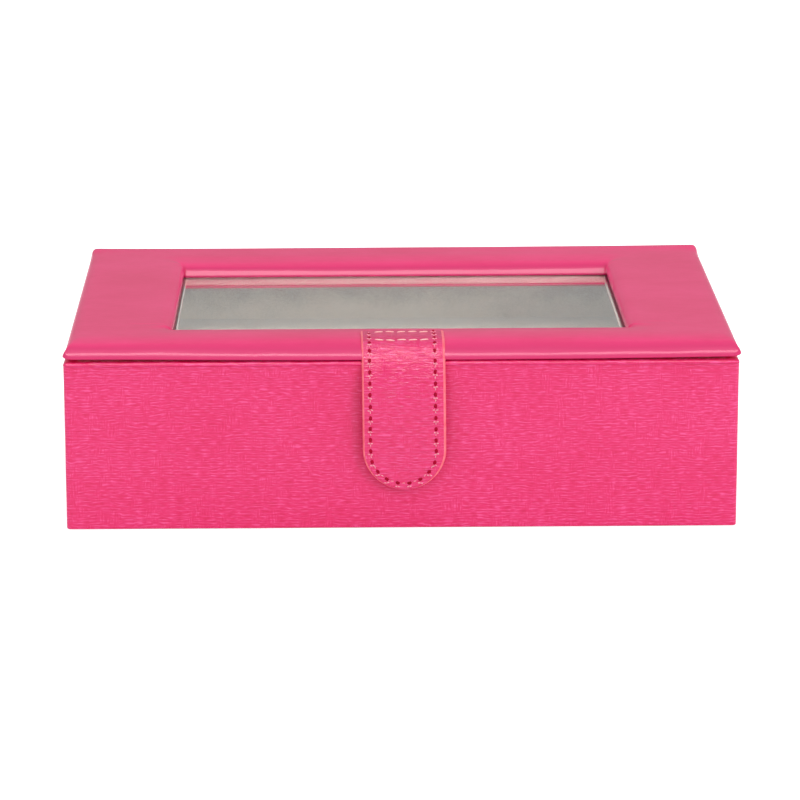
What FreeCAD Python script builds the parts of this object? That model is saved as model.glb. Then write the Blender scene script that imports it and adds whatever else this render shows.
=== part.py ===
"""Leather cufflink box with a glazed, padded lid, a magnetic strap and a side drawer.

Millimetres. +X is the box's right side, +Y its back and +Z up. The origin is the centre of the
underside panel, on the surface that the box stands on. The lid is closed, the strap hangs down and
the drawer is shut.
"""
import os

import FreeCAD
import Part
import Sketcher

doc = FreeCAD.newDocument("cufflink_box")
sheet = doc.addObject("Spreadsheet::Sheet", "sizes")


# ---------------------------------------------------------------- sizes

class Size:
    """A length that carries both its value and the sheet expression it is worked out from."""

    def __init__(self, value, text):
        self.value = value
        self.text = text

    def __add__(self, other):
        other = as_size(other)
        return Size(self.value + other.value, f"({self.text} + {other.text})")

    def __sub__(self, other):
        other = as_size(other)
        return Size(self.value - other.value, f"({self.text} - {other.text})")

    def __mul__(self, factor):
        return Size(self.value * factor, f"({self.text} * {factor})")

    def __truediv__(self, divisor):
        return Size(self.value / divisor, f"({self.text} / {divisor})")

    def __neg__(self):
        return Size(-self.value, f"(-1 * {self.text})")


def as_size(number):
    """Let a plain number, such as zero, stand where a Size is wanted."""
    if isinstance(number, Size):
        return number
    return Size(float(number), f"({float(number)})")


next_row = 1


def cell(alias, value, meaning):
    """Write one driving dimension into the sheet and return it as a Size."""
    global next_row
    address = f"A{next_row}"
    sheet.set(address, str(value))
    sheet.setAlias(address, alias)
    sheet.set(f"B{next_row}", meaning)
    next_row += 1
    return Size(float(value), f"sizes.{alias}")


base_width = cell("base_width", 200.0, "box, left to right over the leather")
base_depth = cell("base_depth", 150.0, "box, front to back over the leather")
base_height = cell("base_height", 51.0, "underside to the top of the rim")
leather = cell("leather", 1.0, "thickness of the base's leather")
wall_board = cell("wall_board", 4.0, "thickness of the base's wall boards")
floor_board = cell("floor_board", 3.0, "thickness of the bottom and tray floor boards")
lining = cell("lining", 0.8, "thickness of the tray's wall lining")
edge_round = cell("edge_round", 1.2, "rounding of the base's outer edges")
under_panel = cell("under_panel", 1.0, "thickness of the underside panel")
under_lift = cell("under_lift", 0.4, "height of the leather's lowest edge over the table")
turn_in = cell("turn_in", 5.0, "leather turned in under the bottom")
panel_fit = cell("panel_fit", 0.1, "gap round the underside panel")

bay_lining = cell("bay_lining", 0.4, "thickness of the drawer bay's lining")
slide_gap = cell("slide_gap", 0.35, "running gap round the drawer")
drawer_height = cell("drawer_height", 15.3, "drawer, bottom to top edge")
drawer_board = cell("drawer_board", 2.5, "thickness of the drawer's wall boards")
drawer_floor = cell("drawer_floor", 2.0, "thickness of the drawer's floor board")
drawer_front = cell("drawer_front", 3.5, "thickness of the drawer's front board")
drawer_skin = cell("drawer_skin", 0.8, "leather on the drawer's front")
drawer_lining = cell("drawer_lining", 0.6, "lining inside the drawer")
wall_drop = cell("wall_drop", 1.0, "drawer walls below the drawer front's top edge")
notch_radius = cell("notch_radius", 9.0, "thumb notch in the drawer front")
divider_board = cell("divider_board", 2.0, "thickness of the drawer's dividers")
divider_drop = cell("divider_drop", 1.5, "dividers below the drawer walls")
cross_pitch = cell("cross_pitch", 47.0, "spacing of the cross dividers")
long_pitch = cell("long_pitch", 44.0, "spacing of the long dividers")
lap_fit = cell("lap_fit", 0.1, "play in the dividers' halved joints")

tray_lining = cell("tray_lining", 0.6, "thickness of the tray's floor lining")
roll_height = cell("roll_height", 8.6, "cufflink roll, floor to crown")
roll_slit = cell("roll_slit", 0.4, "slit between cufflink rolls")
roll_round = cell("roll_round", 3.0, "rounding of a roll's shoulders")
roll_end_gap = cell("roll_end_gap", 0.3, "gap at each end of a roll")

side_overhang = cell("side_overhang", 0.5, "lid beyond the base at each side")
front_overhang = cell("front_overhang", 1.0, "lid beyond the base at the front")
lid_rise = cell("lid_rise", 1.2, "rim to the lid's underside")
lid_edge = cell("lid_edge", 2.0, "height of the lid's edges, outside and round the window")
lid_shoulder = cell("lid_shoulder", 1.7, "rise from an edge to the shoulder behind it")
lid_crown = cell("lid_crown", 0.8, "rise from the shoulder to the crest")
shoulder_inset = cell("shoulder_inset", 5.0, "edge to shoulder, across the lid")
crest_inset = cell("crest_inset", 14.0, "edge to crest, across the lid")
window_width = cell("window_width", 138.0, "window opening, left to right")
window_depth = cell("window_depth", 92.0, "window opening, front to back")
lid_skin = cell("lid_skin", 0.8, "leather over the lid")
lid_turn = cell("lid_turn", 0.6, "leather under the lid")
rail_board = cell("rail_board", 1.6, "thickness of the lid's rails")
glass = cell("glass", 2.0, "thickness of the pane")
glass_overlap = cell("glass_overlap", 4.5, "pane beyond the window opening")
glass_fit = cell("glass_fit", 0.1, "gap round the pane")
frame_seat = cell("frame_seat", 0.35, "gap between the inner frame and the rim")
frame_inset = cell("frame_inset", 3.6, "inner frame, in from the base's outside")
frame_ledge = cell("frame_ledge", 1.9, "thickness of the inner frame under the pane")
sight_inset = cell("sight_inset", 0.5, "inner frame's opening, inside the window opening")
trim_thick = cell("trim_thick", 1.5, "thickness of the leather trim under the inner frame")
frame_collar = cell("frame_collar", 3.0, "inner frame's wall round the pane")

strap_width = cell("strap_width", 24.8, "strap, side to side")
strap_layer = cell("strap_layer", 1.0, "thickness of each of the strap's two layers")
strap_offset = cell("strap_offset", 0.6, "strap's centre line, right of the box's centre")
strap_tip = cell("strap_tip", 12.6, "tip of the strap over the table")
strap_reach = cell("strap_reach", 13.5, "strap on the lid, back from the base's front")
strap_round = cell("strap_round", 0.9, "rounding of the strap's top edges")
strap_skive = cell("strap_skive", 0.8, "thickness of the strap's sewn end")
strap_gap = cell("strap_gap", 0.35, "gap at the strap's bend")
strap_overhang = cell("strap_overhang", 0.5, "strap tab beyond the lid's edge")
bend_drop = cell("bend_drop", 0.4, "strap's bend line over the top of the lid's edge")
magnet_radius = cell("magnet_radius", 5.0, "strap magnet")
magnet_thick = cell("magnet_thick", 1.2, "strap magnet, face to face")
magnet_fit = cell("magnet_fit", 0.1, "gap round the magnet and the catch plate")
magnet_rise = cell("magnet_rise", 12.5, "magnet over the strap's tip")
catch_radius = cell("catch_radius", 6.0, "catch plate")
catch_thick = cell("catch_thick", 1.5, "catch plate, face to face")

hinge_inset = cell("hinge_inset", 45.0, "side of the box to the middle of the nearer hinge")
hinge_width = cell("hinge_width", 30.0, "hinge, end to end")
hinge_leaf = cell("hinge_leaf", 0.7, "thickness of a hinge leaf")
leaf_margin = cell("leaf_margin", 1.6, "leaf in front of its screws")
barrel_radius = cell("barrel_radius", 1.6, "hinge barrel")
barrel_gap = cell("barrel_gap", 0.4, "barrel behind the box")
pin_radius = cell("pin_radius", 0.75, "hinge pin")
pin_fit = cell("pin_fit", 0.02, "pin in the base's knuckles")
pin_play = cell("pin_play", 0.05, "pin in the lid's knuckle")
knuckle_width = cell("knuckle_width", 9.6, "lid's knuckle")
knuckle_gap = cell("knuckle_gap", 0.35, "gap beside the lid's knuckle")
stop_reach = cell("stop_reach", 3.4, "stop lug behind the hinge's axis")
stop_half = cell("stop_half", 1.1, "half the height of the stop lug")
screw_spread = cell("screw_spread", 20.0, "screw to screw in a leaf")
screw_radius = cell("screw_radius", 0.5, "screw shank")
screw_head = cell("screw_head", 1.0, "screw head's radius")
head_depth = cell("head_depth", 0.45, "screw head's height")
screw_fit = cell("screw_fit", 0.05, "gap round a screw")
base_screw = cell("base_screw", 8.0, "length of a screw in the base")
lid_screw = cell("lid_screw", 2.4, "length of a screw in the lid")
leaf_fit = cell("leaf_fit", 0.1, "gap round the leaves let into the rim")
notch_fit = cell("notch_fit", 0.5, "inner frame clear of the hinge leaves")

ROLL_COUNT = 7
CROSS_DIVIDERS = 3
LONG_DIVIDERS = 2
TOOL_MARGIN = 1.0       # how far a cutting shape runs past the face that it cuts
SAME_PLACE = 0.001      # coordinates nearer than this are the same

half_width = base_width / 2
half_depth = base_depth / 2

# heights, from the table up
bottom_top = under_panel + floor_board
bay_floor = bottom_top + bay_lining
drawer_base = bay_floor + slide_gap
drawer_top = drawer_base + drawer_height
bay_top = drawer_top + slide_gap
tray_floor_top = bay_top + floor_board
tray_floor = tray_floor_top + tray_lining
board_top = base_height - leather

# the base's faces, from the outside in
board_out_x = half_width - leather
board_out_y = half_depth - leather
board_in_x = board_out_x - wall_board
board_in_y = board_out_y - wall_board
tray_x = board_in_x - lining
tray_y = board_in_y - lining

# the lid
lid_x = half_width + side_overhang
lid_front = -half_depth - front_overhang
lid_back = half_depth
lid_floor = base_height + lid_rise
lid_brim = lid_floor + lid_edge
lid_shoulder_top = lid_brim + lid_shoulder
lid_crest = lid_shoulder_top + lid_crown
lid_middle = (lid_front + lid_back) / 2
window_x = window_width / 2
window_front = lid_middle - window_depth / 2
window_back = lid_middle + window_depth / 2
rail_floor = lid_floor + lid_turn
rail_top = rail_floor + rail_board

# the hinges and the strap
axis_y = half_depth + barrel_gap + barrel_radius
axis_z = base_height + (lid_rise - hinge_leaf) / 2
screw_y = board_out_y - wall_board / 2
leaf_front = screw_y - leaf_margin
strap_thick = strap_layer * 2
strap_back = lid_front - strap_overhang - strap_gap
strap_middle = strap_back - strap_layer
strap_face = strap_back - strap_thick
strap_top = lid_brim + bend_drop + strap_layer
magnet_z = strap_tip + magnet_rise

nodes = []


# ---------------------------------------------------------------- making shapes

def bind(item, path, size):
    """Tie one property of an object to the sheet."""
    item.setExpression(path, as_size(size).text)


def place(item, x=0, y=0, z=0):
    """Tie an object's position to the sheet."""
    bind(item, ".Placement.Base.x", x)
    bind(item, ".Placement.Base.y", y)
    bind(item, ".Placement.Base.z", z)


def box(name, x, y, z):
    """A block between two faces along each axis."""
    item = doc.addObject("Part::Box", name)
    bind(item, "Length", as_size(x[1]) - x[0])
    bind(item, "Width", as_size(y[1]) - y[0])
    bind(item, "Height", as_size(z[1]) - z[0])
    place(item, x[0], y[0], z[0])
    return item


def both(half):
    """The two faces of something that is symmetric about the box's middle."""
    return (-half, half)


def rod(name, radius, length, x, y, z, axis):
    """A round bar that starts at a point and runs along X, Y or Z."""
    item = doc.addObject("Part::Cylinder", name)
    turns = {
        "X": FreeCAD.Rotation(FreeCAD.Vector(0, 1, 0), 90),
        "Y": FreeCAD.Rotation(FreeCAD.Vector(1, 0, 0), -90),
        "Z": FreeCAD.Rotation(),
    }
    item.Placement = FreeCAD.Placement(FreeCAD.Vector(), turns[axis])
    bind(item, "Radius", radius)
    bind(item, "Height", length)
    place(item, x, y, z)
    return item


def cut(name, base, tools):
    """What is left of a shape when others are taken out of it."""
    tool = tools[0]
    if len(tools) > 1:
        tool = fuse(name + "_tools", tools)
    item = doc.addObject("Part::Cut", name)
    item.Base = base
    item.Tool = tool
    return item


def fuse(name, shapes):
    """Several shapes joined into one."""
    item = doc.addObject("Part::MultiFuse", name)
    item.Shapes = shapes
    item.Refine = True
    return item


def common(name, shapes):
    """What several shapes share."""
    item = doc.addObject("Part::MultiCommon", name)
    item.Shapes = shapes
    return item


def group(name, shapes):
    """Separate solids kept in one node."""
    item = doc.addObject("Part::Compound", name)
    item.Links = shapes
    return item


def node(name, item):
    """Hand an object over as one sub-part."""
    item.Label = name
    nodes.append(item)
    return item


def outline(sketch, points):
    """Close a chain of straight lines through points that are tied to the sheet."""
    corners = [FreeCAD.Vector(as_size(x).value, as_size(y).value, 0) for x, y in points]
    count = len(corners)
    for index in range(count):
        sketch.addGeometry(Part.LineSegment(corners[index], corners[(index + 1) % count]), False)
    for index, (x, y) in enumerate(points):
        sketch.addConstraint(Sketcher.Constraint("Coincident", (index - 1) % count, 2, index, 1))
        hold_point(sketch, index, 1, x, y)


def hold_point(sketch, line, end, x, y):
    """Tie a point of a sketch to the sheet, both ways."""
    hold_distance(sketch, "DistanceX", line, end, x)
    hold_distance(sketch, "DistanceY", line, end, y)


def hold_distance(sketch, kind, line, end, size):
    """Tie one coordinate of a point of a sketch to the sheet."""
    size = as_size(size)
    row = sketch.addConstraint(Sketcher.Constraint(kind, -1, 1, line, end, size.value))
    sketch.setExpression(f"Constraints[{row}]", size.text)


def body_sketch(body, name, role, level=0):
    """A sketch on one of a body's own origin planes, moved along the plane's normal."""
    plane = next(item for item in body.Origin.OriginFeatures if item.Role == role)
    sketch = body.newObject("Sketcher::SketchObject", name)
    sketch.AttachmentSupport = [(plane, "")]
    sketch.MapMode = "FlatFace"
    bind(sketch, ".AttachmentOffset.Base.z", level)
    return sketch


def padded_body(name, role, level, points, length):
    """A body padded from a straight-sided outline."""
    body = doc.addObject("PartDesign::Body", name)
    sketch = body_sketch(body, name + "_outline", role, level)
    outline(sketch, points)
    pad = body.newObject("PartDesign::Pad", name + "_pad")
    pad.Profile = sketch
    bind(pad, "Length", length)
    sketch.Visibility = False
    return body


def rectangle(x, y):
    """The corners of an oblong between two faces each way."""
    return [(x[0], y[0]), (x[1], y[0]), (x[1], y[1]), (x[0], y[1])]


def edges_where(feature, test):
    """Names of the straight edges whose ends pass a test."""
    doc.recompute()
    names = []
    for number, edge in enumerate(feature.Shape.Edges, start=1):
        ends = [vertex.Point for vertex in edge.Vertexes]
        if len(ends) == 2 and test(ends[0], ends[1]):
            names.append(f"Edge{number}")
    return names


def round_edges(body, name, radius, test):
    """Round the edges of a body's newest shape that pass a test."""
    feature = body.Tip
    fillet = body.newObject("PartDesign::Fillet", name)
    fillet.Base = (feature, edges_where(feature, test))
    bind(fillet, "Radius", radius)
    return fillet


def layered(name, rectangles):
    """A solid through level oblongs, each given by its faces each way and its height."""
    sections = []
    for number, (x, y, z) in enumerate(rectangles, start=1):
        sketch = doc.addObject("Sketcher::SketchObject", f"{name}_level_{number}")
        outline(sketch, rectangle(x, y))
        bind(sketch, ".Placement.Base.z", z)
        sections.append(sketch)
    item = doc.addObject("Part::Loft", name)
    item.Sections = sections
    item.Solid = True
    item.Ruled = True
    return item


def near(one, other):
    """Whether two coordinates are the same."""
    return abs(one - other) < SAME_PLACE


# ---------------------------------------------------------------- hinge positions

def hinge_centres():
    """The two hinges, by side."""
    offset = half_width - hinge_inset
    return (("left", -offset), ("right", offset))


def screw_places(centre):
    """Where a leaf's two screws stand along X."""
    return (centre - screw_spread / 2, centre + screw_spread / 2)


def screw_holes(name, floor, length):
    """Round tools for the screws of both hinges, from a level upwards."""
    holes = []
    for side, centre in hinge_centres():
        for number, x in enumerate(screw_places(centre), start=1):
            hole_name = f"{name}_{side}_{number}"
            holes.append(rod(hole_name, screw_radius + screw_fit, length, x, screw_y, floor, "Z"))
    return holes


# ---------------------------------------------------------------- base

def make_base_leather():
    """Outer leather: round the walls, over the rim, round the drawer's mouth and under the edge."""
    form = padded_body(
        "base_form", "XY_Plane", under_lift,
        rectangle(both(half_width), both(half_depth)),
        base_height - under_lift,
    )
    width = half_width.value
    depth = half_depth.value

    def outer(start, end):
        upright = near(start.x, end.x) and near(start.y, end.y)
        rim = near(start.z, end.z) and near(start.z, base_height.value)
        foot = near(start.z, end.z) and near(start.z, under_lift.value)
        on_side = near(abs(start.x), width) or near(abs(start.y), depth)
        return on_side and (upright or rim or foot)

    round_edges(form, "base_form_round", edge_round, outer)
    boards = box("leather_inside", both(board_out_x), both(board_out_y), (under_panel, board_top))
    mouth = box(
        "leather_mouth", both(tray_x), both(tray_y),
        (board_top - TOOL_MARGIN, base_height + TOOL_MARGIN),
    )
    foot = box(
        "leather_foot",
        both(half_width - turn_in), both(half_depth - turn_in),
        (as_size(0), under_panel + TOOL_MARGIN),
    )
    drawer_mouth = box(
        "leather_drawer_mouth",
        (board_out_x - TOOL_MARGIN, half_width + TOOL_MARGIN), both(board_in_y), (bottom_top, bay_top),
    )
    holes = screw_holes("leather_hole", board_top - TOOL_MARGIN, leather + TOOL_MARGIN * 2)
    seats = []
    reach = hinge_width / 2 + leaf_fit
    for side, centre in hinge_centres():
        seats.append(box(
            f"leaf_seat_{side}", (centre - reach, centre + reach),
            (leaf_front - leaf_fit, half_depth + TOOL_MARGIN),
            (base_height - hinge_leaf, base_height + TOOL_MARGIN),
        ))
    tools = [boards, mouth, foot, drawer_mouth] + holes + seats
    return node("base_leather", cut("base_leather", form, tools))


def make_base_boards():
    """Walls, bottom and tray floor: plain boards, butted together."""
    full = both(board_out_x)
    height = (under_panel + floor_board, board_top)
    front = box("front_blank", full, (-board_out_y, -board_in_y), height)
    catch = rod(
        "catch_pocket", catch_radius + magnet_fit, catch_thick + TOOL_MARGIN,
        strap_offset, -board_out_y - TOOL_MARGIN, magnet_z, "Y",
    )
    node("front_board", cut("front_board", front, [catch]))
    back = box("back_blank", full, (board_in_y, board_out_y), height)
    holes = screw_holes("back_hole", board_top - base_screw, base_screw + TOOL_MARGIN)
    node("back_board", cut("back_board", back, holes))
    node("left_board", box("left_board", (-board_out_x, -board_in_x), both(board_in_y), height))
    node("right_board", box(
        "right_board", (board_in_x, board_out_x), both(board_in_y), (bay_top, board_top),
    ))
    node("bottom_board", box("bottom_board", full, both(board_out_y), (under_panel, bottom_top)))
    node("tray_floor_board", box(
        "tray_floor_board", both(board_in_x), both(board_in_y), (bay_top, tray_floor_top),
    ))


def make_underside_panel():
    """The panel that the box rests on, let into the turned-in leather."""
    inset = turn_in + panel_fit
    node("underside_panel", box(
        "underside_panel", both(half_width - inset), both(half_depth - inset), (as_size(0), under_panel),
    ))


def make_catch_plate():
    """Steel disc let into the front board, behind the leather."""
    node("catch_plate", rod(
        "catch_plate", catch_radius, catch_thick, strap_offset, -board_out_y, magnet_z, "Y",
    ))


def make_tray_lining():
    """Lining on the tray's walls and floor."""
    height = (tray_floor_top, board_top)
    outside = box("wall_lining_outside", both(board_in_x), both(board_in_y), height)
    inside = box(
        "wall_lining_inside", both(tray_x), both(tray_y),
        (tray_floor_top - TOOL_MARGIN, board_top + TOOL_MARGIN),
    )
    node("tray_wall_lining", cut("tray_wall_lining", outside, [inside]))
    node("tray_floor_lining", box(
        "tray_floor_lining", both(tray_x), both(tray_y), (tray_floor_top, tray_floor),
    ))


def make_cufflink_rolls():
    """Padded rolls side by side, with a slit between each and the next."""
    room = tray_y * 2 - roll_slit
    pitch = room / ROLL_COUNT
    for number in range(1, ROLL_COUNT + 1):
        start = -tray_y + roll_slit + pitch * (number - 1)
        faces = (start, start + pitch - roll_slit)
        name = f"cufflink_roll_{number}"
        body = padded_body(
            name, "XY_Plane", tray_floor, rectangle(both(tray_x - roll_end_gap), faces), roll_height,
        )
        crown = (tray_floor + roll_height).value

        def shoulder(start_point, end_point):
            level = near(start_point.z, crown) and near(end_point.z, crown)
            return level and near(start_point.y, end_point.y)

        round_edges(body, name + "_round", roll_round, shoulder)
        node(name, body)


def make_bay_lining():
    """Lining on the drawer bay's floor, two long walls and far end."""
    outside = box("bay_outside", (-board_in_x, board_out_x), both(board_in_y), (bottom_top, bay_top))
    inside = box(
        "bay_inside",
        (-board_in_x + bay_lining, board_out_x + TOOL_MARGIN),
        both(board_in_y - bay_lining),
        (bay_floor, bay_top + TOOL_MARGIN),
    )
    node("drawer_bay_lining", cut("drawer_bay_lining", outside, [inside]))


# ---------------------------------------------------------------- drawer

drawer_in = -board_in_x + bay_lining + slide_gap
drawer_out = half_width
drawer_y = board_in_y - bay_lining - slide_gap
front_back = drawer_out - drawer_skin - drawer_front
well_in = drawer_in + drawer_board
well_y = drawer_y - drawer_board
wall_top = drawer_top - wall_drop
divider_top = wall_top - divider_drop


def make_drawer_shell():
    """Floor, front and three walls of the drawer."""
    walls = (drawer_base + drawer_floor, wall_top)
    node("drawer_floor_board", box(
        "drawer_floor_board", (drawer_in, front_back), both(drawer_y),
        (drawer_base, drawer_base + drawer_floor),
    ))
    blank = box(
        "drawer_front_blank",
        (front_back, drawer_out - drawer_skin), both(drawer_y - drawer_skin),
        (drawer_base + drawer_skin, drawer_top - drawer_skin),
    )
    thumb = rod(
        "board_notch", notch_radius + drawer_skin, drawer_front + TOOL_MARGIN * 2,
        front_back - TOOL_MARGIN, as_size(0), drawer_top, "X",
    )
    node("drawer_front_board", cut("drawer_front_board", blank, [thumb]))
    long_walls = (("front", (-drawer_y, -well_y)), ("back", (well_y, drawer_y)))
    for side, faces in long_walls:
        node(f"drawer_wall_{side}", box(f"drawer_wall_{side}", (drawer_in, front_back), faces, walls))
    node("drawer_wall_end", box("drawer_wall_end", (drawer_in, well_in), both(well_y), walls))


def make_drawer_leather():
    """Leather on the drawer's front: its face, its four edges and the thumb notch."""
    outside = box(
        "drawer_leather_outside", (front_back, drawer_out), both(drawer_y), (drawer_base, drawer_top),
    )
    board = box(
        "drawer_leather_inside",
        (front_back - TOOL_MARGIN, drawer_out - drawer_skin), both(drawer_y - drawer_skin),
        (drawer_base + drawer_skin, drawer_top - drawer_skin),
    )
    notch_span = drawer_skin + drawer_front
    collar = rod(
        "notch_collar", notch_radius + drawer_skin, notch_span,
        front_back, as_size(0), drawer_top, "X",
    )
    collar_block = box(
        "notch_block", (front_back, drawer_out), both(notch_radius + drawer_skin),
        (drawer_top - notch_radius - drawer_skin, drawer_top),
    )
    trimmed = common("notch_trim", [collar, collar_block])
    thumb = rod(
        "leather_notch", notch_radius, notch_span + TOOL_MARGIN * 2,
        front_back - TOOL_MARGIN, as_size(0), drawer_top, "X",
    )
    skin = cut("drawer_skin_flat", outside, [board])
    covered = fuse("drawer_skin_covered", [skin, trimmed])
    node("drawer_front_leather", cut("drawer_front_leather", covered, [thumb]))


def make_drawer_lining():
    """Lining in the drawer's well, with the same thumb notch at the front."""
    floor = drawer_base + drawer_floor
    outside = box("drawer_lining_outside", (well_in, front_back), both(well_y), (floor, wall_top))
    inside = box(
        "drawer_lining_inside",
        (well_in + drawer_lining, front_back - drawer_lining), both(well_y - drawer_lining),
        (floor + drawer_lining, wall_top + TOOL_MARGIN),
    )
    thumb = rod(
        "lining_notch", notch_radius, drawer_lining + TOOL_MARGIN * 2,
        front_back - drawer_lining - TOOL_MARGIN, as_size(0), drawer_top, "X",
    )
    node("drawer_lining", cut("drawer_lining", outside, [inside, thumb]))


def divider_offsets(count, pitch):
    """Where a row of dividers stands, either side of the middle."""
    return [pitch * (number - (count - 1) / 2) for number in range(count)]


def make_drawer_dividers():
    """Long and cross dividers, halved together where they meet."""
    floor = drawer_base + drawer_floor + drawer_lining
    lap = floor + (divider_top - floor) / 2
    half_board = divider_board / 2
    long_x = (well_in + drawer_lining, front_back - drawer_lining)
    middle = (long_x[0] + long_x[1]) / 2
    cross_y = both(well_y - drawer_lining)
    cross_places = [middle + offset for offset in divider_offsets(CROSS_DIVIDERS, cross_pitch)]
    long_places = divider_offsets(LONG_DIVIDERS, long_pitch)
    for number, x in enumerate(cross_places, start=1):
        name = f"drawer_divider_cross_{number}"
        blank = box(name + "_blank", (x - half_board, x + half_board), cross_y, (floor, divider_top))
        slots = []
        for mark, y in enumerate(long_places, start=1):
            slots.append(box(
                f"{name}_slot_{mark}",
                (x - divider_board, x + divider_board),
                (y - half_board - lap_fit, y + half_board + lap_fit),
                (floor - TOOL_MARGIN, lap + lap_fit),
            ))
        node(name, cut(name, blank, slots))
    for number, y in enumerate(long_places, start=1):
        name = f"drawer_divider_long_{number}"
        blank = box(name + "_blank", long_x, (y - half_board, y + half_board), (floor, divider_top))
        slots = []
        for mark, x in enumerate(cross_places, start=1):
            slots.append(box(
                f"{name}_slot_{mark}",
                (x - half_board - lap_fit, x + half_board + lap_fit),
                (y - divider_board, y + divider_board),
                (lap, divider_top + TOOL_MARGIN),
            ))
        node(name, cut(name, blank, slots))


# ---------------------------------------------------------------- lid

def lid_levels(inset, drop, floor):
    """Oblongs from the lid's underside to its crest, all moved in and down by a thickness."""
    levels = (
        (inset, floor),
        (inset, lid_brim - drop),
        (inset + shoulder_inset, lid_shoulder_top - drop),
        (inset + crest_inset, lid_crest - drop),
    )
    rows = []
    for gap, height in levels:
        rows.append(((gap - lid_x, lid_x - gap), (lid_front + gap, lid_back - gap), height))
    return rows


def window_levels(outset, drop):
    """Oblongs for the window's opening, which widens from its lip up to the crest."""
    levels = (
        (outset, lid_floor - TOOL_MARGIN),
        (outset, lid_brim - drop),
        (outset + shoulder_inset, lid_shoulder_top - drop),
        (outset + crest_inset, lid_crest - drop),
        (outset + crest_inset, lid_crest + TOOL_MARGIN),
    )
    rows = []
    for gap, height in levels:
        rows.append((both(window_x + gap), (window_front - gap, window_back + gap), height))
    return rows


def make_lid_cover():
    """Smooth leather cover, and the core of rails and pads that it is wrapped round."""
    outside = layered("lid_outside", lid_levels(as_size(0), as_size(0), lid_floor))
    window = layered("lid_window", window_levels(as_size(0), as_size(0)))
    core_blank = layered("lid_core_blank", lid_levels(lid_skin, lid_skin, rail_floor))
    core_window = layered("lid_core_window", window_levels(lid_skin, lid_skin))
    core = cut("lid_core", core_blank, [core_window])
    holes = screw_holes("lid_leather_hole", lid_floor - TOOL_MARGIN, lid_turn + TOOL_MARGIN)
    node("lid_leather", cut("lid_leather", outside, [window, core] + holes))
    return core


def make_lid_core(core):
    """Four rails and the four pads on them: front and back run right across."""
    inner_x = window_x + lid_skin
    inner_front = window_front - lid_skin
    inner_back = window_back + lid_skin
    bite = lid_screw - hinge_leaf - lid_turn + screw_fit
    drilled = cut("lid_core_drilled", core, screw_holes(
        "lid_core_hole", rail_floor - TOOL_MARGIN, bite + TOOL_MARGIN,
    ))
    spans = {
        "front": (both(lid_x), (lid_front, inner_front)),
        "back": (both(lid_x), (inner_back, lid_back)),
        "left": ((-lid_x, -inner_x), (inner_front, inner_back)),
        "right": ((inner_x, lid_x), (inner_front, inner_back)),
    }
    for side, (x, y) in spans.items():
        slab = box(f"rail_slab_{side}", x, y, (rail_floor, rail_top))
        rail = common(f"rail_shape_{side}", [drilled, slab])
        node(f"lid_rail_{side}", rail)
        block = box(f"pad_block_{side}", x, y, (rail_top, lid_crest))
        node(f"lid_pad_{side}", common(f"pad_shape_{side}", [drilled, block]))


def round_window(gap):
    """Faces along X and Y of an oblong that stands out from the window by a gap."""
    return both(window_x + gap), (window_front - gap, window_back + gap)


def make_lid_glazing():
    """The pane, the suede-covered frame that holds it from below and the trim under that frame."""
    pane_floor = lid_floor - glass
    ledge_floor = pane_floor - frame_ledge
    trim_floor = ledge_floor - trim_thick
    pane_x, pane_y = round_window(glass_overlap)
    node("lid_glass", box("lid_glass", pane_x, pane_y, (pane_floor, lid_floor)))
    flange = box(
        "frame_flange",
        both(half_width - frame_inset), both(half_depth - frame_inset),
        (base_height + frame_seat, lid_floor),
    )
    collar_x, collar_y = round_window(glass_overlap + frame_collar)
    collar = box("frame_collar_block", collar_x, collar_y, (ledge_floor, lid_floor))
    pocket_x, pocket_y = round_window(glass_overlap + glass_fit)
    pocket = box("frame_pocket", pocket_x, pocket_y, (pane_floor, lid_floor + TOOL_MARGIN))
    sight_x, sight_y = round_window(-sight_inset)
    sight = box("frame_sight", sight_x, sight_y, (trim_floor - TOOL_MARGIN, lid_floor))
    tools = [pocket, sight]
    reach = hinge_width / 2 + notch_fit
    for side, centre in hinge_centres():
        tools.append(box(
            f"frame_notch_{side}",
            (centre - reach, centre + reach),
            (leaf_front - notch_fit, half_depth),
            (base_height, lid_floor + TOOL_MARGIN),
        ))
    blank = fuse("frame_blank", [flange, collar])
    node("lid_inner_frame", cut("lid_inner_frame", blank, tools))
    trim_blank = box("trim_blank", collar_x, collar_y, (trim_floor, ledge_floor))
    node("lid_inner_trim", cut("lid_inner_trim", trim_blank, [sight]))


# ---------------------------------------------------------------- strap

strap_left = strap_offset - strap_width / 2
strap_right = strap_offset + strap_width / 2


def make_strap_tab():
    """The strap's end on the lid: it follows the leather from the crest to the edge."""
    tab_back = -half_depth + strap_reach
    crest_y = lid_front + crest_inset
    shoulder_y = lid_front + shoulder_inset
    tab_front = lid_front - strap_overhang
    lower = [
        (tab_front, lid_brim),
        (lid_front, lid_brim),
        (shoulder_y, lid_shoulder_top),
        (crest_y, lid_crest),
        (tab_back, lid_crest),
    ]
    upper = [
        (tab_back, lid_crest + strap_skive),
        (crest_y, lid_crest + strap_skive),
        (shoulder_y, lid_shoulder_top + (strap_skive + strap_thick) / 2),
        (tab_front, lid_brim + strap_thick),
    ]
    node("strap_tab", padded_body("strap_tab", "YZ_Plane", strap_left, lower + upper, strap_width))


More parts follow.
